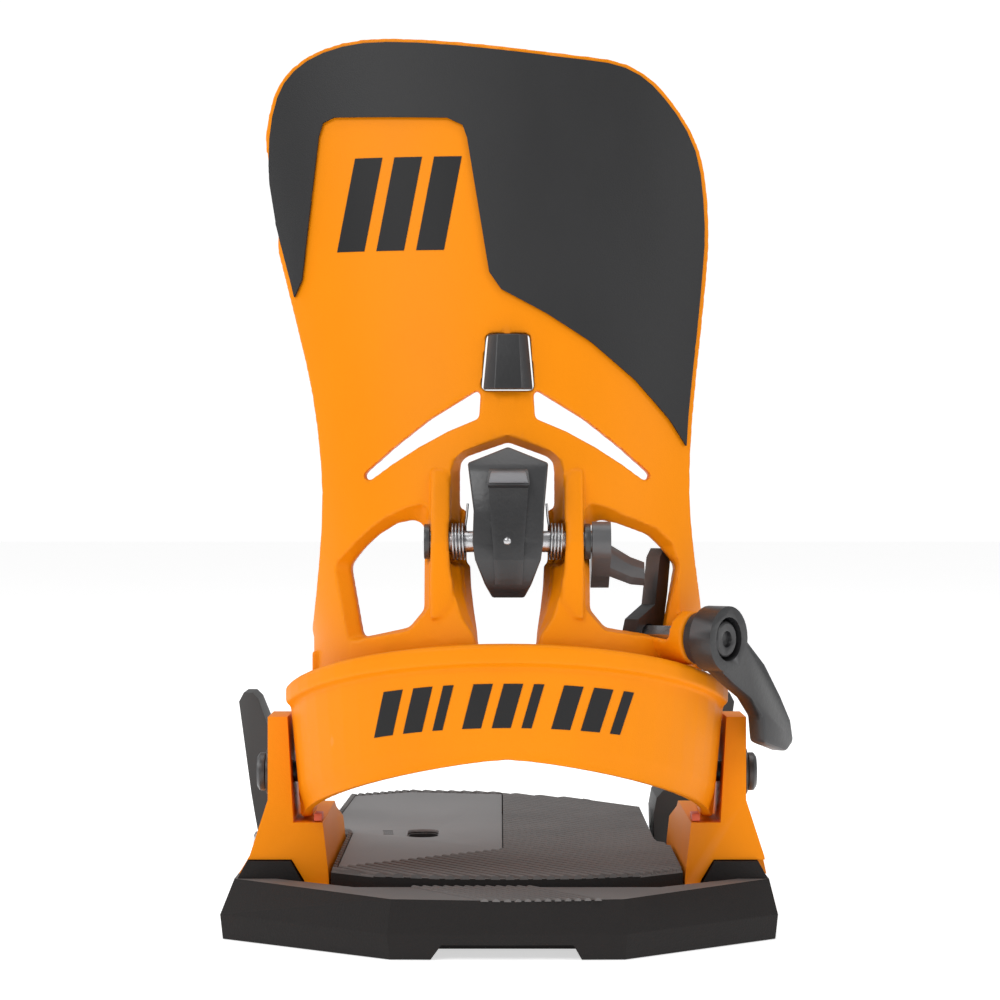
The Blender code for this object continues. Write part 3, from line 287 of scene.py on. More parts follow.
def metal_finish(name, colour, rough=0.3, along=(1, 12, 12), scale=420.0):
    """Machined steel with fine turning lines and duller patches."""
    finish = Finish(name, rough, metal=1.0)
    lines = finish.noise(scale, 3.0, along)
    patches = finish.noise(70.0, 3.0)
    tone = finish.mix(patches * 2.0 + 0.5, shade(colour, 0.78), shade(colour, 1.12))
    return finish.paint(tone, lines * 0.22 + patches * 0.2 + rough, lines, 0.03 * MM)


def coated_finish(name, colour, rough=0.36, wear=0.5):
    """Cast metal under a black satin coat, rubbed paler along its edges."""
    finish = Finish(name, rough, coat=0.1, specular=0.5)
    cast = finish.noise(900.0, 3.0)
    cloud = finish.noise(55.0, 4.0)
    body = finish.mix(cloud * 2.5 + 0.5, shade(colour, 0.8), shade(colour, 1.5))
    tone = finish.mix(finish.edges(wear), body, (0.16, 0.16, 0.165))
    return finish.paint(tone, cloud * 0.18 + cast * 0.10 + rough, cast + cloud * 0.5, 0.06 * MM)


_finishes = {}


def finish_for(slot):
    """The material for one of the record's slots, made once."""
    if not _finishes:
        tint = bpy.context.scene.binding_colours
        _finishes.update({
            "orange_nylon": moulded("orange_nylon_finish", tint.orange, 0.44, mottle=0.03, wear=0.10,
                                    specular=0.12),
            "dark_nylon": moulded("dark_nylon_finish", tint.hook, 0.5, specular=0.4),
            "dark_foam": foam_finish("foam_finish", tint.foam),
            "grey_rubber": moulded("pad_finish", tint.pad, 0.55, grain=1700.0, relief=0.08 * MM),
            "grip": moulded("grip_finish", tint.grip, 0.6, grain=1500.0, relief=0.1 * MM, mottle=0.12),
            "cover": moulded("cover_finish", tint.cover, 0.52, grain=2200.0, relief=0.06 * MM, mottle=0.08,
                             specular=0.3),
            "print": moulded("print_finish", shade(tint.cover, 0.75), 0.5, relief=0.02 * MM, wear=0.0,
                             specular=0.2),
            "black_metal": coated_finish("black_metal_finish", tint.black),
            # The lip's finish is the latch's black made nine times paler: a painted highlight where the
            # latch's upper facet catches the light.
            "painted_lip_highlight": coated_finish("worn_edge_finish", shade(tint.black, 9.0), 0.3, 0.2),
            "steel": metal_finish("steel_finish", tint.steel),
            "amber_rubber": moulded("amber_finish", tint.amber, 0.45, grain=1400.0),
        })
    return _finishes[slot]


# ------------------------------------------------------------------ modelling
def activate(piece):
    """Leaves this piece alone selected."""
    if bpy.context.object and bpy.context.object.mode != "OBJECT":
        bpy.ops.object.mode_set(mode="OBJECT")
    bpy.ops.object.select_all(action="DESELECT")
    piece.select_set(True)
    bpy.context.view_layer.objects.active = piece


def copied(node, name):
    """A copy of a CAD piece with its triangles joined into whole faces."""
    piece = bpy.data.objects.new(name, NODES[node].data.copy())
    bpy.context.scene.collection.objects.link(piece)
    activate(piece)
    bpy.ops.mesh.customdata_custom_splitnormals_clear()
    bpy.ops.object.mode_set(mode="EDIT")
    bpy.ops.mesh.select_all(action="SELECT")
    bpy.ops.mesh.remove_doubles(threshold=0.002 * MM)
    bpy.ops.mesh.dissolve_limited(angle_limit=math.radians(0.4))
    bpy.ops.object.mode_set(mode="OBJECT")
    return piece


def modify(piece, kind, **settings):
    """Adds a modifier and applies it."""
    activate(piece)
    modifier = piece.modifiers.new(kind.title(), kind)
    for key, value in settings.items():
        setattr(modifier, key, value)
    bpy.ops.object.modifier_apply(modifier=modifier.name)
    return piece


def rounded(piece, width, segments=2, angle=38):
    return modify(piece, "BEVEL", width=width, segments=segments, limit_method="ANGLE", profile=0.6,
                  angle_limit=math.radians(angle), use_clamp_overlap=True, harden_normals=False)


def settled(piece, node, finish=None, angle=32, replaced=True, slot=None):
    """Shades a finished piece, paints it and lets it ride where its CAD piece rides."""
    activate(piece)
    bpy.ops.object.shade_smooth_by_angle(angle=math.radians(angle))
    slot = slot or SLOT_OF[node]
    piece.data.materials.clear()
    piece.data.materials.append(finish_for(finish or slot))
    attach(piece, BODY_OF[node])
    if replaced:
        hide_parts(node)
    return piece


def crisp(node, width, segments=2, finish=None, angle=38):
    """A CAD piece with its edges rounded."""
    return settled(rounded(copied(node, f"{node}_finished"), width, segments, angle), node, finish)


def mesh_points(piece):
    points = np.empty(len(piece.data.vertices) * 3)
    piece.data.vertices.foreach_get("co", points)
    return points.reshape(-1, 3)


def set_points(piece, points):
    piece.data.vertices.foreach_set("co", points.reshape(-1))
    piece.data.update()


def named(name):
    piece = bpy.context.object
    piece.name = name
    piece.data.name = name
    return piece


def fixed(piece):
    """Puts a piece's place and turn into its mesh."""
    activate(piece)
    bpy.ops.object.transform_apply(location=True, rotation=True, scale=True)
    return piece


def added_cube(name, place, size):
    bpy.ops.object.select_all(action="DESELECT")
    bpy.ops.mesh.primitive_cube_add(size=1.0, location=place)
    piece = named(name)
    piece.scale = size
    return fixed(piece)


def added_grid(name, columns, rows):
    """A flat grid from 0 to 1 both ways."""
    bpy.ops.object.select_all(action="DESELECT")
    bpy.ops.mesh.primitive_grid_add(x_subdivisions=columns, y_subdivisions=rows, size=1.0,
                                    location=(0.5, 0.5, 0))
    return fixed(named(name))


def united(pieces, name):
    """Several pieces made one."""
    activate(pieces[0])
    for piece in pieces:
        piece.select_set(True)
    if len(pieces) > 1:
        bpy.ops.object.join()
    return named(name)


def removed(piece):
    bpy.data.objects.remove(piece)


def faces_out(piece):
    activate(piece)
    bpy.ops.object.mode_set(mode="EDIT")
    bpy.ops.mesh.select_all(action="SELECT")
    bpy.ops.mesh.remove_doubles(threshold=0.001 * MM)
    bpy.ops.mesh.normals_make_consistent(inside=False)
    bpy.ops.object.mode_set(mode="OBJECT")
    return piece


# ------------------------------------------------------------------ the highback's skin
def skin_wall(z):
    thin = np.clip((z - SKIN_THINS_FROM) / SKIN_THINS_OVER, 0.0, 1.0)
    return SKIN_LOW_WALL + (SKIN_TOP_WALL - SKIN_LOW_WALL) * thin


def skin_point(angle, z, depth):
    """Points on the skin, in millimetres; depth is measured from the rear face towards the boot."""
    rise = np.maximum(0.0, z - SKIN_STRAIGHT_Z)
    half = SKIN_HALF_WIDTH + SKIN_FLARE * rise
    x = half * np.sin(angle)
    y = SKIN_REAR_Y + SKIN_LEAN * rise + SKIN_DEPTH * (1 - np.cos(angle))
    nx, ny = -SKIN_DEPTH * np.sin(angle), half * np.cos(angle)
    length = np.hypot(nx, ny)
    return x + nx / length * depth, y + ny / length * depth


def skin_place(x, y, z):
    """How far round the skin a point is, and its depth from the rear face."""
    rise = np.maximum(0.0, z - SKIN_STRAIGHT_Z)
    half = SKIN_HALF_WIDTH + SKIN_FLARE * rise
    centre = SKIN_REAR_Y + SKIN_LEAN * rise + SKIN_DEPTH
    angle = np.arctan2(x / half, (centre - y) / SKIN_DEPTH)
    for _ in range(4):
        px, py = half * np.sin(angle), centre - SKIN_DEPTH * np.cos(angle)
        tx, ty = half * np.cos(angle), SKIN_DEPTH * np.sin(angle)
        angle = angle + ((x - px) * tx + (y - py) * ty) / (tx * tx + ty * ty)
    px, py = half * np.sin(angle), centre - SKIN_DEPTH * np.cos(angle)
    nx, ny = -SKIN_DEPTH * np.sin(angle), half * np.cos(angle)
    return angle, ((x - px) * nx + (y - py) * ny) / np.hypot(nx, ny)


def laid_on_skin(piece, depths, full=0.35, none=0.9):
    """Draws the points that lie near one of the depths onto the true curve there."""
    points = mesh_points(piece) / MM
    x, y, z = points.T
    angle, depth = skin_place(x, y, z)
    target = depth.copy()
    for level in depths:
        wanted = level(z)
        gap = np.abs(depth - wanted)
        pull = np.clip((none - gap) / (none - full), 0.0, 1.0)
        target += (wanted - depth) * pull
    near = np.abs(target - depth) > 1e-6
    nx, ny = skin_point(angle, z, target)
    points[near, 0], points[near, 1] = nx[near], ny[near]
    set_points(piece, points * MM)
    return piece


def on_skin(name, outline, depth, thickness, node, finish, cuts):
    """A thin shape that follows the highback's rear face; the outline is seen from the rear."""
    mesh = bpy.data.meshes.new(name)
    mesh.from_pydata([(x * MM, 0, z * MM) for x, z in outline], [], [list(range(len(outline)))])
    piece = bpy.data.objects.new(name, mesh)
    bpy.context.scene.collection.objects.link(piece)
    activate(piece)
    bpy.ops.object.mode_set(mode="EDIT")
    bpy.ops.mesh.select_all(action="SELECT")
    bpy.ops.mesh.quads_convert_to_tris()
    bpy.ops.mesh.subdivide(number_cuts=cuts)
    bpy.ops.object.mode_set(mode="OBJECT")
    points = mesh_points(piece) / MM
    x, _, z = points.T
    half = SKIN_HALF_WIDTH + SKIN_FLARE * np.maximum(0.0, z - SKIN_STRAIGHT_Z)
    nx, ny = skin_point(np.arcsin(np.clip(x / half, -0.999, 0.999)), z, np.full_like(z, depth))
    points[:, 0], points[:, 1] = nx, ny
    set_points(piece, points * MM)
    modify(piece, "SOLIDIFY", thickness=thickness * MM, offset=0.0)
    faces_out(piece)
    return settled(piece, node, finish, replaced=False, slot=SLOT_OF["highback_cover"])


# ------------------------------------------------------------------ base
class BINDING_OT_base_cushion(bpy.types.Operator):
    """Foam base with softened edges and a ribbed rear ledge"""

    bl_idname = "binding.base_cushion"
    bl_label = "Foam base"

    def execute(self, context):
        base = copied("base_cushion", "base_cushion_foam")
        rounded(base, 0.9 * MM, 3, 24)
        settled(base, "base_cushion")
        # The ledge's upward face takes the paler grip finish: painted light, making the ledge's top paler
        # where the light falls on it.
        base.data.materials.append(finish_for("grip"))
        for face in base.data.polygons:
            if face.normal.z > 0.98 and abs(face.center.z - LEDGE_TOP) < 0.3 * MM:
                face.material_index = 1
        ribs = ribbed("base_cushion", "ledge_ribs", (0, -118 * MM), 96 * MM, 30 * MM, 2.4 * MM, 0.55 * MM,
                      top=LEDGE_TOP, turn=RIB_TURN)
        settled(ribs, "base_cushion", "grip", replaced=False)
        return {"FINISHED"}


def ribbed(node, name, centre, length, spread, pitch, height, top, turn):
    """Parallel ribs standing on a CAD piece's upper face, trimmed to that face."""
    count = int(spread / pitch)
    rib = added_cube(name, (0, 0, 0), (length, 0.62 * pitch, height + 0.3 * MM))
    activate(rib)
    bpy.ops.object.mode_set(mode="EDIT")
    bpy.ops.mesh.select_all(action="DESELECT")
    bpy.ops.object.mode_set(mode="OBJECT")
    for edge in rib.data.edges:
        ends = [rib.data.vertices[i].co for i in edge.vertices]
        edge.select = all(end.z > 0 for end in ends) and abs(ends[0].y - ends[1].y) < 1e-6
    bpy.ops.object.mode_set(mode="EDIT")
    bpy.ops.mesh.select_mode(type="EDGE")
    bpy.ops.mesh.bevel(offset=0.28 * pitch, segments=2)
    bpy.ops.object.mode_set(mode="OBJECT")
    modify(rib, "ARRAY", count=count, use_relative_offset=False, use_constant_offset=True,
           constant_offset_displace=(0, pitch, 0))
    rib.location = (0, -count * pitch / 2, 0)
    fixed(rib)
    rib.rotation_euler = (0, 0, turn)
    rib.location = (centre[0], centre[1], top + (height - 0.3 * MM) / 2)
    fixed(rib)
    region = copied(node, f"{name}_region")
    for vertex in region.data.vertices:
        if abs(vertex.co.z - top) < 0.1 * MM:
            vertex.co.z += 3 * MM
            vertex.co.x *= 0.99
    modify(rib, "BOOLEAN", operation="INTERSECT", solver="EXACT", object=region, use_self=True)
    removed(region)
    return rib


class BINDING_OT_chassis(bpy.types.Operator):
    """Orange chassis with its floor plate, posts and rails"""

    bl_idname = "binding.chassis"
    bl_label = "Chassis"

    def execute(self, context):
        crisp("chassis", 0.9 * MM, 3, angle=12)
        return {"FINISHED"}


class BINDING_OT_footbed(bpy.types.Operator):
    """Footbed with diagonal grip ribs, and its smooth pad"""

    bl_idname = "binding.footbed"
    bl_label = "Footbed"

    def execute(self, context):
        sizes = context.scene.binding_sizes
        bed = crisp("footbed", sizes.edge, finish="grip")
        # Faces of the footbed that don't face up take the dark foam finish: painted shade, darkening its rear
        # edge where the gap under it falls in shadow.
        bed.data.materials.append(finish_for("dark_foam"))
        for face in bed.data.polygons:
            face.material_index = int(face.normal.z < 0.3)
        ribs = ribbed("footbed", "footbed_ribs", (0, 10 * MM), 330 * MM, 330 * MM, sizes.rib_pitch,
                      sizes.rib_height, top=FOOTBED_TOP, turn=RIB_TURN)
        settled(ribs, "footbed", "grip", replaced=False)
        crisp("footbed_pad", sizes.fine_edge)
        ticks = []
        for row in range(4):
            ticks.append(added_cube(f"tick_{row}", (-37.5 * MM - row * 0.2 * MM, (3 + 3.4 * row) * MM,
                                                    high("footbed_pad").z), (3.2 * MM, 0.7 * MM, 0.16 * MM)))
        scale = rounded(united(ticks, "footbed_scale"), 0.05 * MM, 1)
        settled(scale, "footbed_pad", "print", replaced=False)
        crisp("toe_ramp", sizes.edge)
        return {"FINISHED"}


class BINDING_OT_disc(bpy.types.Operator):
    """Mounting disc and its board screws"""

    bl_idname = "binding.disc"
    bl_label = "Mounting disc"

    def execute(self, context):
        sizes = context.scene.binding_sizes
        crisp("mounting_disc", sizes.fine_edge, angle=50)
        for number in range(1, 5):
            crisp(f"board_screw_{number}", 0.12 * MM, 2)
        return {"FINISHED"}


# ------------------------------------------------------------------ heelcup
class BINDING_OT_heelcup(bpy.types.Operator):
    """Heelcup with a smooth band and a row of plain slanted bars on it"""

    bl_idname = "binding.heelcup"
    bl_label = "Heelcup"

    def execute(self, context):
        sizes = context.scene.binding_sizes
        cup = copied("heelcup", "heelcup_moulded")
        rounded(cup, 0.45 * MM, 2, 24)
        modify(cup, "REMESH", mode="VOXEL", voxel_size=CUP_VOXEL)
        modify(cup, "SMOOTH", factor=0.5, iterations=5)
        modify(cup, "DECIMATE", ratio=0.55)
        lower_bevel(cup)
        settled(cup, "heelcup", angle=30)
        bars = []
        pitch = BAR_SPAN / sizes.bars
        for number in range(sizes.bars):
            bar = added_grid(f"bar_{number}", 5, 8)
            u, v, _ = mesh_points(bar).T
            width = pitch * (0.34 if number % 3 == 2 else 0.64)
            x = -BAR_SPAN / 2 + (number + 0.18) * pitch + width * u + BAR_SLANT * (v - 0.5)
            set_points(bar, cup_face(x, v) * MM)
            bars.append(bar)
        marks = united(bars, "heelcup_bars")
        modify(marks, "SOLIDIFY", thickness=sizes.inlay * 2, offset=0.0)
        settled(faces_out(marks), "heelcup", "print", replaced=False)
        return {"FINISHED"}


def cup_band(x, y):
    """The band's outward direction at points round the heelcup, and its top, crease and lower edge."""
    travel = np.maximum(0.0, y - (CUP_BEND_Y - CUP_DEPTH))
    top = CUP_TOP_Z - CUP_TOP_FALL * travel
    bottom = CUP_LOW_Z - CUP_DROP * (travel / CUP_DROP_OVER) ** CUP_DROP_POWER
    nx, ny = x / CUP_HALF_WIDTH ** 2, np.minimum(0.0, y - CUP_BEND_Y) / CUP_DEPTH ** 2
    length = np.hypot(nx, ny)
    return nx / length, ny / length, top, bottom + CREASE * (top - bottom), bottom


def lower_bevel(cup):
    """Slopes the band inwards below its lower crease."""
    points = mesh_points(cup) / MM
    x, y, z = points.T
    nx, ny, _, crease, bottom = cup_band(x, y)
    reach = np.hypot(x / CUP_HALF_WIDTH, np.minimum(0.0, y - CUP_BEND_Y) / CUP_DEPTH)
    outer = np.clip((reach - 0.945) / 0.012, 0.0, 1.0) * (y < CUP_BEND_Y)
    slope = CREASE_SLOPE * np.clip((crease - z) / (crease - bottom), 0.0, 1.0) * outer
    points[:, 0] -= nx * slope
    points[:, 1] -= ny * slope
    set_points(cup, points * MM)


def cup_face(x, v):
    """Points on the heelcup's outer band, in millimetres; v runs from the bars' feet to their tops."""
    y = CUP_BEND_Y - CUP_DEPTH * np.sqrt(1.0 - (x / CUP_HALF_WIDTH) ** 2)
    nx, ny, top, crease, _ = cup_band(x, y)
    z = BAR_FOOT + BAR_HEIGHT * v - CUP_TOP_Z + top
    fall = CUP_BAND_LEAN * np.clip((top - CUP_LIP - z) / (top - CUP_LIP - crease), 0.0, 1.2)
    return np.stack([x - nx * fall, y - ny * fall, z], axis=1)


class BINDING_OT_cup_fasteners(bpy.types.Operator):
    """Bolts, washers, nuts and spacers of the heelcup"""

    bl_idname = "binding.cup_fasteners"
    bl_label = "Heelcup fasteners"

    def execute(self, context):
        for word in ("left", "right"):
            crisp(f"heelcup_washer_{word}", 0.15 * MM, finish="black_metal")
            crisp(f"heelcup_bolt_{word}", 0.3 * MM)
            crisp(f"heelcup_nut_{word}", 0.2 * MM)
            crisp(f"spacer_block_{word}", 0.3 * MM)
            crisp(f"highback_pin_{word}", 0.2 * MM)
        return {"FINISHED"}


class BINDING_OT_toe_hooks(bpy.types.Operator):
    """Toe hooks with softened blades, and their screws"""

    bl_idname = "binding.toe_hooks"
    bl_label = "Toe hooks"

    def execute(self, context):
        for word in ("left", "right"):
            crisp(f"toe_hook_{word}", 0.9 * MM, 3, angle=18)
            for place in ("rear", "front"):
                crisp(f"toe_hook_screw_{word}_{place}", 0.15 * MM)
        return {"FINISHED"}


# ------------------------------------------------------------------ highback
class BINDING_OT_highback_shell(bpy.types.Operator):
    """Moulded highback shell with true curves and soft edges"""

    bl_idname = "binding.highback_shell"
    bl_label = "Highback shell"

    def execute(self, context):
        sizes = context.scene.binding_sizes
        shell = copied("highback_shell", "highback_moulded")
        modify(shell, "REMESH", mode="VOXEL", voxel_size=sizes.voxel)
        modify(shell, "SMOOTH", factor=0.5, iterations=5)
        laid_on_skin(shell, [lambda z: 0.0 * z, skin_wall])
        modify(shell, "DECIMATE", ratio=0.5)
        settled(shell, "highback_shell", angle=60)
        return {"FINISHED"}


class BINDING_OT_highback_cover(bpy.types.Operator):
    """Dark cover over the highback, with plain slanted bars in the orange field below it"""

    bl_idname = "binding.highback_cover"
    bl_label = "Highback cover"

    def execute(self, context):
        cover = copied("highback_cover", "highback_cover_skin")
        activate(cover)
        bpy.ops.object.mode_set(mode="EDIT")
        bpy.ops.mesh.select_all(action="SELECT")
        bpy.ops.mesh.quads_convert_to_tris()
        bpy.ops.mesh.subdivide(number_cuts=3)
        bpy.ops.object.mode_set(mode="OBJECT")
        laid_on_skin(cover, [lambda z: 0 * z - 0.3, lambda z: 0 * z - 1.1], full=0.38, none=0.4)
        settled(cover, "highback_cover", "cover", angle=40)
        for number, left in enumerate((-49.0, -37.5, -26.0)):
            outline = [(left, 196.5), (left + 8.0, 196.5), (left + 13.0, 224.0), (left + 5.0, 224.0)]
            on_skin(f"highback_bar_{number + 1}", outline, -0.02, 0.25, "highback_cover", "print", 6)
        return {"FINISHED"}


class BINDING_OT_highback_pad(bpy.types.Operator):
    """Foam pad on the boot side of the highback, crowned and with moulded channels"""

    bl_idname = "binding.highback_pad"
    bl_label = "Highback pad"

    def execute(self, context):
        box_low, box_high = low("highback_pad") / MM, high("highback_pad") / MM
        pad = added_grid("highback_pad_foam", 90, 84)
        u, v, _ = mesh_points(pad).T
        bottom, top = box_low.z + 0.6, box_high.z - 0.6
        s = 2 * u - 1
        z = bottom + (top - bottom) * (0.5 + (v - 0.5) * (1 - 0.10 * np.abs(s) ** 4))
        left, right = (np.interp(z, PAD_HEIGHTS, edge) for edge in (PAD_LEFT, PAD_RIGHT))
        angle = (left + right) / 2 + s * (right - left) / 2 * (1 - 0.05 * np.abs(2 * v - 1) ** 6)
        rim = np.clip((1 - np.maximum(np.abs(s), np.abs(2 * v - 1))) / 0.09, 0.0, 1.0)
        crown = 0.4 + 3.4 * np.sqrt(rim * (2 - rim))
        for level in PAD_GROOVES:
            groove = np.exp(-((v - level - 0.035 * s * s) / 0.014) ** 2)
            crown -= 1.7 * groove * np.clip((0.86 - np.abs(s)) / 0.05, 0, 1)
        depth = skin_wall(z) + 0.3 + crown
        x, y = skin_point(angle, z, depth)
        set_points(pad, np.stack([x, y, z], axis=1) * MM)
        back_x, back_y = skin_point(angle, z, skin_wall(z) + 0.3)
        thick_pad(pad, np.stack([back_x, back_y, z], axis=1) * MM)
        settled(pad, "highback_pad", "dark_foam", angle=50, slot=SLOT_OF["highback_pad"])
        return {"FINISHED"}


def thick_pad(piece, back):
    """Closes a sheet into a solid whose other side lies at the given points."""
    sheet = [tuple(vertex.co) for vertex in piece.data.vertices]
    count = len(sheet)
    faces = [list(face.vertices) for face in piece.data.polygons]
    used = {}
    for face in faces:
        for start, end in zip(face, face[1:] + face[:1]):
            used[(start, end)] = used.get((start, end), 0) + 1
    rim = [(start, end) for start, end in used if (end, start) not in used]
    solid = faces + [[i + count for i in reversed(face)] for face in faces]
    solid += [[end, start, start + count, end + count] for start, end in rim]
    mesh = bpy.data.meshes.new(piece.name)
    mesh.from_pydata(sheet + [tuple(point) for point in back], [], solid)
    piece.data = mesh
    return faces_out(piece)


class BINDING_OT_lean_slider(bpy.types.Operator):
    """Black push piece above the tongue"""

    bl_idname = "binding.lean_slider"
    bl_label = "Push piece"

    def execute(self, context):
        crisp("lean_slider", SLIDER_ROUND, 3, angle=12)
        return {"FINISHED"}


# ------------------------------------------------------------------ latch and release
class BINDING_OT_heel_latch(bpy.types.Operator):
    """Heel latch with its raised face, rivet and axle"""

    bl_idname = "binding.heel_latch"
    bl_label = "Heel latch"

    def execute(self, context):
        crisp("heel_latch", 0.3 * MM, 2, angle=30)
        rear = AXLE.y / MM
        rows = [(133.6, rear - 8.6, -4.9, 5.5), (133.0, rear - 9.4, -5.2, 5.8),
                (129.6, rear - 13.0, -5.6, 6.2), (129.1, rear - 13.1, -5.4, 6.0),
                (128.3, rear - 10.7, -5.2, 5.8), (121.4, rear - 11.3, -4.7, 5.3),
                (113.0, rear - 11.3, -4.0, 4.7), (108.4, rear - 11.3, -3.7, 4.5),
                (101.6, rear - 8.5, -3.3, 4.1)]
        face = row_plate("latch_face", rows, 0.8)
        settled(rounded(face, 0.25 * MM, 2, 20), "heel_latch", replaced=False)
        # The lip plate takes the paler finish: a painted highlight on the facet that faces up.
        lip = row_plate("latch_lip", [(133.0, rear - 9.7, -4.3, 4.9), (132.4, rear - 10.6, -4.6, 5.2),
                                      (130.0, rear - 13.2, -5.1, 5.7)], 0.5)
        settled(rounded(lip, 0.2 * MM, 2, 20), "heel_latch", "painted_lip_highlight", replaced=False)
        ball = copied("latch_rivet", "latch_rivet_ball")
        rounded(ball, 0.35 * MM, 3, 20)
        settled(ball, "latch_rivet")
        crisp("latch_axle", 0.3 * MM, 2, angle=50)
        return {"FINISHED"}


def row_plate(name, rows, thickness):
    """A plate that follows a profile down the latch; each row is height, depth, left and right."""
    plate = added_grid(name, 4, len(rows) - 1)
    points = mesh_points(plate)
    for i, (u, v, _) in enumerate(points.copy()):
        z, y, left, right = rows[round((1 - v) * (len(rows) - 1))]
        points[i] = (left + (right - left) * u, y, z)
    set_points(plate, points * MM)
    inwards = -1.0 if plate.data.polygons[0].normal.y < 0 else 1.0
    modify(plate, "SOLIDIFY", thickness=thickness * MM, offset=inwards)
    return faces_out(plate)


class BINDING_OT_springs(bpy.types.Operator):
    """Return springs with the tangs that hook behind the latch"""

    bl_idname = "binding.springs"
    bl_label = "Springs"

    def execute(self, context):
        for side, word in ((-1, "left"), (1, "right")):
            spring = copied(f"latch_spring_{word}", f"latch_spring_{word}_wire")
            tang = wire(f"tang_{word}", [(side * x, AXLE.y / MM + y, AXLE.z / MM + z) for x, y, z in TANG],
                        WIRE_RADIUS)
            spring = united([spring, tang], f"latch_spring_{word}_wire")
            settled(spring, f"latch_spring_{word}", angle=60)
        return {"FINISHED"}


def wire(name, points, radius):
    """A round wire along a short row of points, in millimetres."""
    pieces = []
    for number, (start, end) in enumerate(zip(points, points[1:])):
        start, end = Vector(start) * MM, Vector(end) * MM
        bpy.ops.object.select_all(action="DESELECT")
        bpy.ops.mesh.primitive_cylinder_add(vertices=10, radius=radius * MM,
                                            depth=(end - start).length + 0.2 * MM, location=(start + end) / 2)
        segment = named(f"{name}_{number}")
        segment.rotation_mode = "QUATERNION"
        segment.rotation_quaternion = (end - start).to_track_quat("Z", "Y")
        pieces.append(fixed(segment))
    return united(pieces, name)


class BINDING_OT_crank(bpy.types.Operator):
    """Crank, cap and washer on the latch's axle"""

    bl_idname = "binding.crank"
    bl_label = "Crank"

    def execute(self, context):
        for node in ("axle_cap", "axle_washer"):
            crisp(node, 0.3 * MM, 2)
        crisp("release_crank", 0.6 * MM, 3)
        return {"FINISHED"}


class BINDING_OT_release_lever(bpy.types.Operator):
    """Release lever with its flange, shaft, screw and cam"""

    bl_idname = "binding.release_lever"
    bl_label = "Release lever"

    def execute(self, context):
        crisp("release_lever", 0.5 * MM, 3, angle=34)
        crisp("lever_flange", 0.5 * MM, 3)
        crisp("release_shaft", 0.25 * MM)
        crisp("lever_screw", 0.2 * MM, finish="black_metal")
        crisp("release_cam", 0.6 * MM, 3, finish="black_metal")
        return {"FINISHED"}


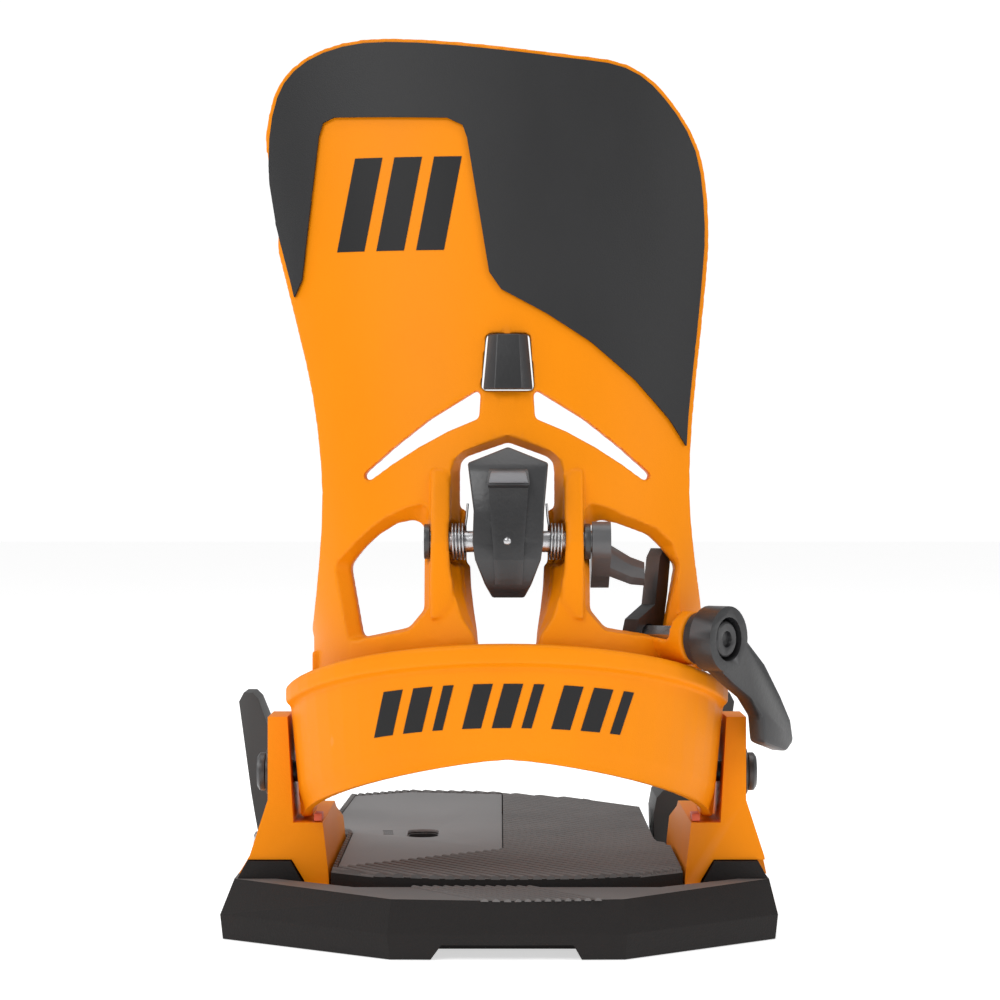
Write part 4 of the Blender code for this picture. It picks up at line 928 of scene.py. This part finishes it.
# ------------------------------------------------------------------ studio
class BINDING_OT_stage(bpy.types.Operator):
    """Plain pale floor, soft lights and the camera"""

    bl_idname = "binding.stage"
    bl_label = "Studio"

    def execute(self, context):
        scene = context.scene
        bpy.ops.object.select_all(action="DESELECT")
        bpy.ops.mesh.primitive_plane_add(size=16.0, location=(0, 0, CAD_BOX[0][2] - 0.2 * MM))
        floor = named("floor")
        finish = Finish("floor_finish", 0.9, specular=0.1)
        finish.shader.inputs["Emission Color"].default_value = (1, 1, 1, 1)
        finish.shader.inputs["Emission Strength"].default_value = FLOOR_GLOW
        soft = finish.noise(3.0, 2.0)
        floor.data.materials.append(finish.paint(finish.mix(soft + 0.5, (0.86,) * 3, (0.88,) * 3)))
        for name, place, size, power in LAMPS:
            lamp = bpy.data.lights.new(name, "AREA")
            lamp.size = size
            lamp.energy = power
            light = bpy.data.objects.new(name, lamp)
            scene.collection.objects.link(light)
            light.location = place
            aim = Vector((0, -0.08, 0.12)) - Vector(place)
            light.rotation_euler = aim.to_track_quat("-Z", "Y").to_euler()
        world = bpy.data.worlds.new("studio")
        scene.world = world
        world.use_nodes = True
        tree = world.node_tree
        tree.nodes.clear()
        output = tree.nodes.new("ShaderNodeOutputWorld")
        seen = tree.nodes.new("ShaderNodeBackground")
        given = tree.nodes.new("ShaderNodeBackground")
        seen.inputs["Color"].default_value = (1, 1, 1, 1)
        seen.inputs["Strength"].default_value = 1.05
        given.inputs["Color"].default_value = (1, 1, 1, 1)
        given.inputs["Strength"].default_value = ROOM_LIGHT
        blend = tree.nodes.new("ShaderNodeMixShader")
        path = tree.nodes.new("ShaderNodeLightPath")
        tree.links.new(path.outputs["Is Camera Ray"], blend.inputs[0])
        tree.links.new(given.outputs[0], blend.inputs[1])
        tree.links.new(seen.outputs[0], blend.inputs[2])
        tree.links.new(blend.outputs[0], output.inputs[0])
        view = bpy.data.cameras.new("view")
        view.sensor_width = 36.0
        view.lens = 106.0
        camera = bpy.data.objects.new("view", view)
        scene.collection.objects.link(camera)
        camera.location = (-0.002, -0.935, 0.125)
        camera.rotation_euler = (math.radians(90), 0, 0)
        scene.camera = camera
        scene.view_settings.view_transform = "Standard"
        return {"FINISHED"}


class BINDING_PT_panel(bpy.types.Panel):
    """Lists the binding's pieces"""

    bl_idname = "BINDING_PT_panel"
    bl_label = "Binding"
    bl_space_type = "VIEW_3D"
    bl_region_type = "UI"
    bl_category = "Binding"

    def draw(self, context):
        for group in (context.scene.binding_sizes, context.scene.binding_colours):
            box = self.layout.box()
            for key in group.bl_rna.properties.keys():
                if key not in ("rna_type", "name"):
                    box.prop(group, key)
        for step in STEPS:
            self.layout.operator(step.bl_idname)


STEPS = (BINDING_OT_base_cushion, BINDING_OT_chassis, BINDING_OT_footbed, BINDING_OT_disc, BINDING_OT_heelcup,
         BINDING_OT_cup_fasteners, BINDING_OT_toe_hooks, BINDING_OT_highback_shell, BINDING_OT_highback_cover,
         BINDING_OT_highback_pad, BINDING_OT_lean_slider, BINDING_OT_heel_latch, BINDING_OT_springs,
         BINDING_OT_crank, BINDING_OT_release_lever, BINDING_OT_stage)
CLASSES = (BindingSizes, BindingColours, *STEPS, BINDING_PT_panel)


def register():
    for cls in CLASSES:
        bpy.utils.register_class(cls)
    bpy.types.Scene.binding_sizes = PointerProperty(type=BindingSizes)
    bpy.types.Scene.binding_colours = PointerProperty(type=BindingColours)


def unregister():
    del bpy.types.Scene.binding_colours
    del bpy.types.Scene.binding_sizes
    for cls in reversed(CLASSES):
        bpy.utils.unregister_class(cls)


def main():
    register()
    for step in STEPS:
        group, name = step.bl_idname.split(".")
        if getattr(getattr(bpy.ops, group), name)() != {"FINISHED"}:
            raise RuntimeError(f"{step.bl_label} did not finish")


if __name__ == "__main__":
    main()
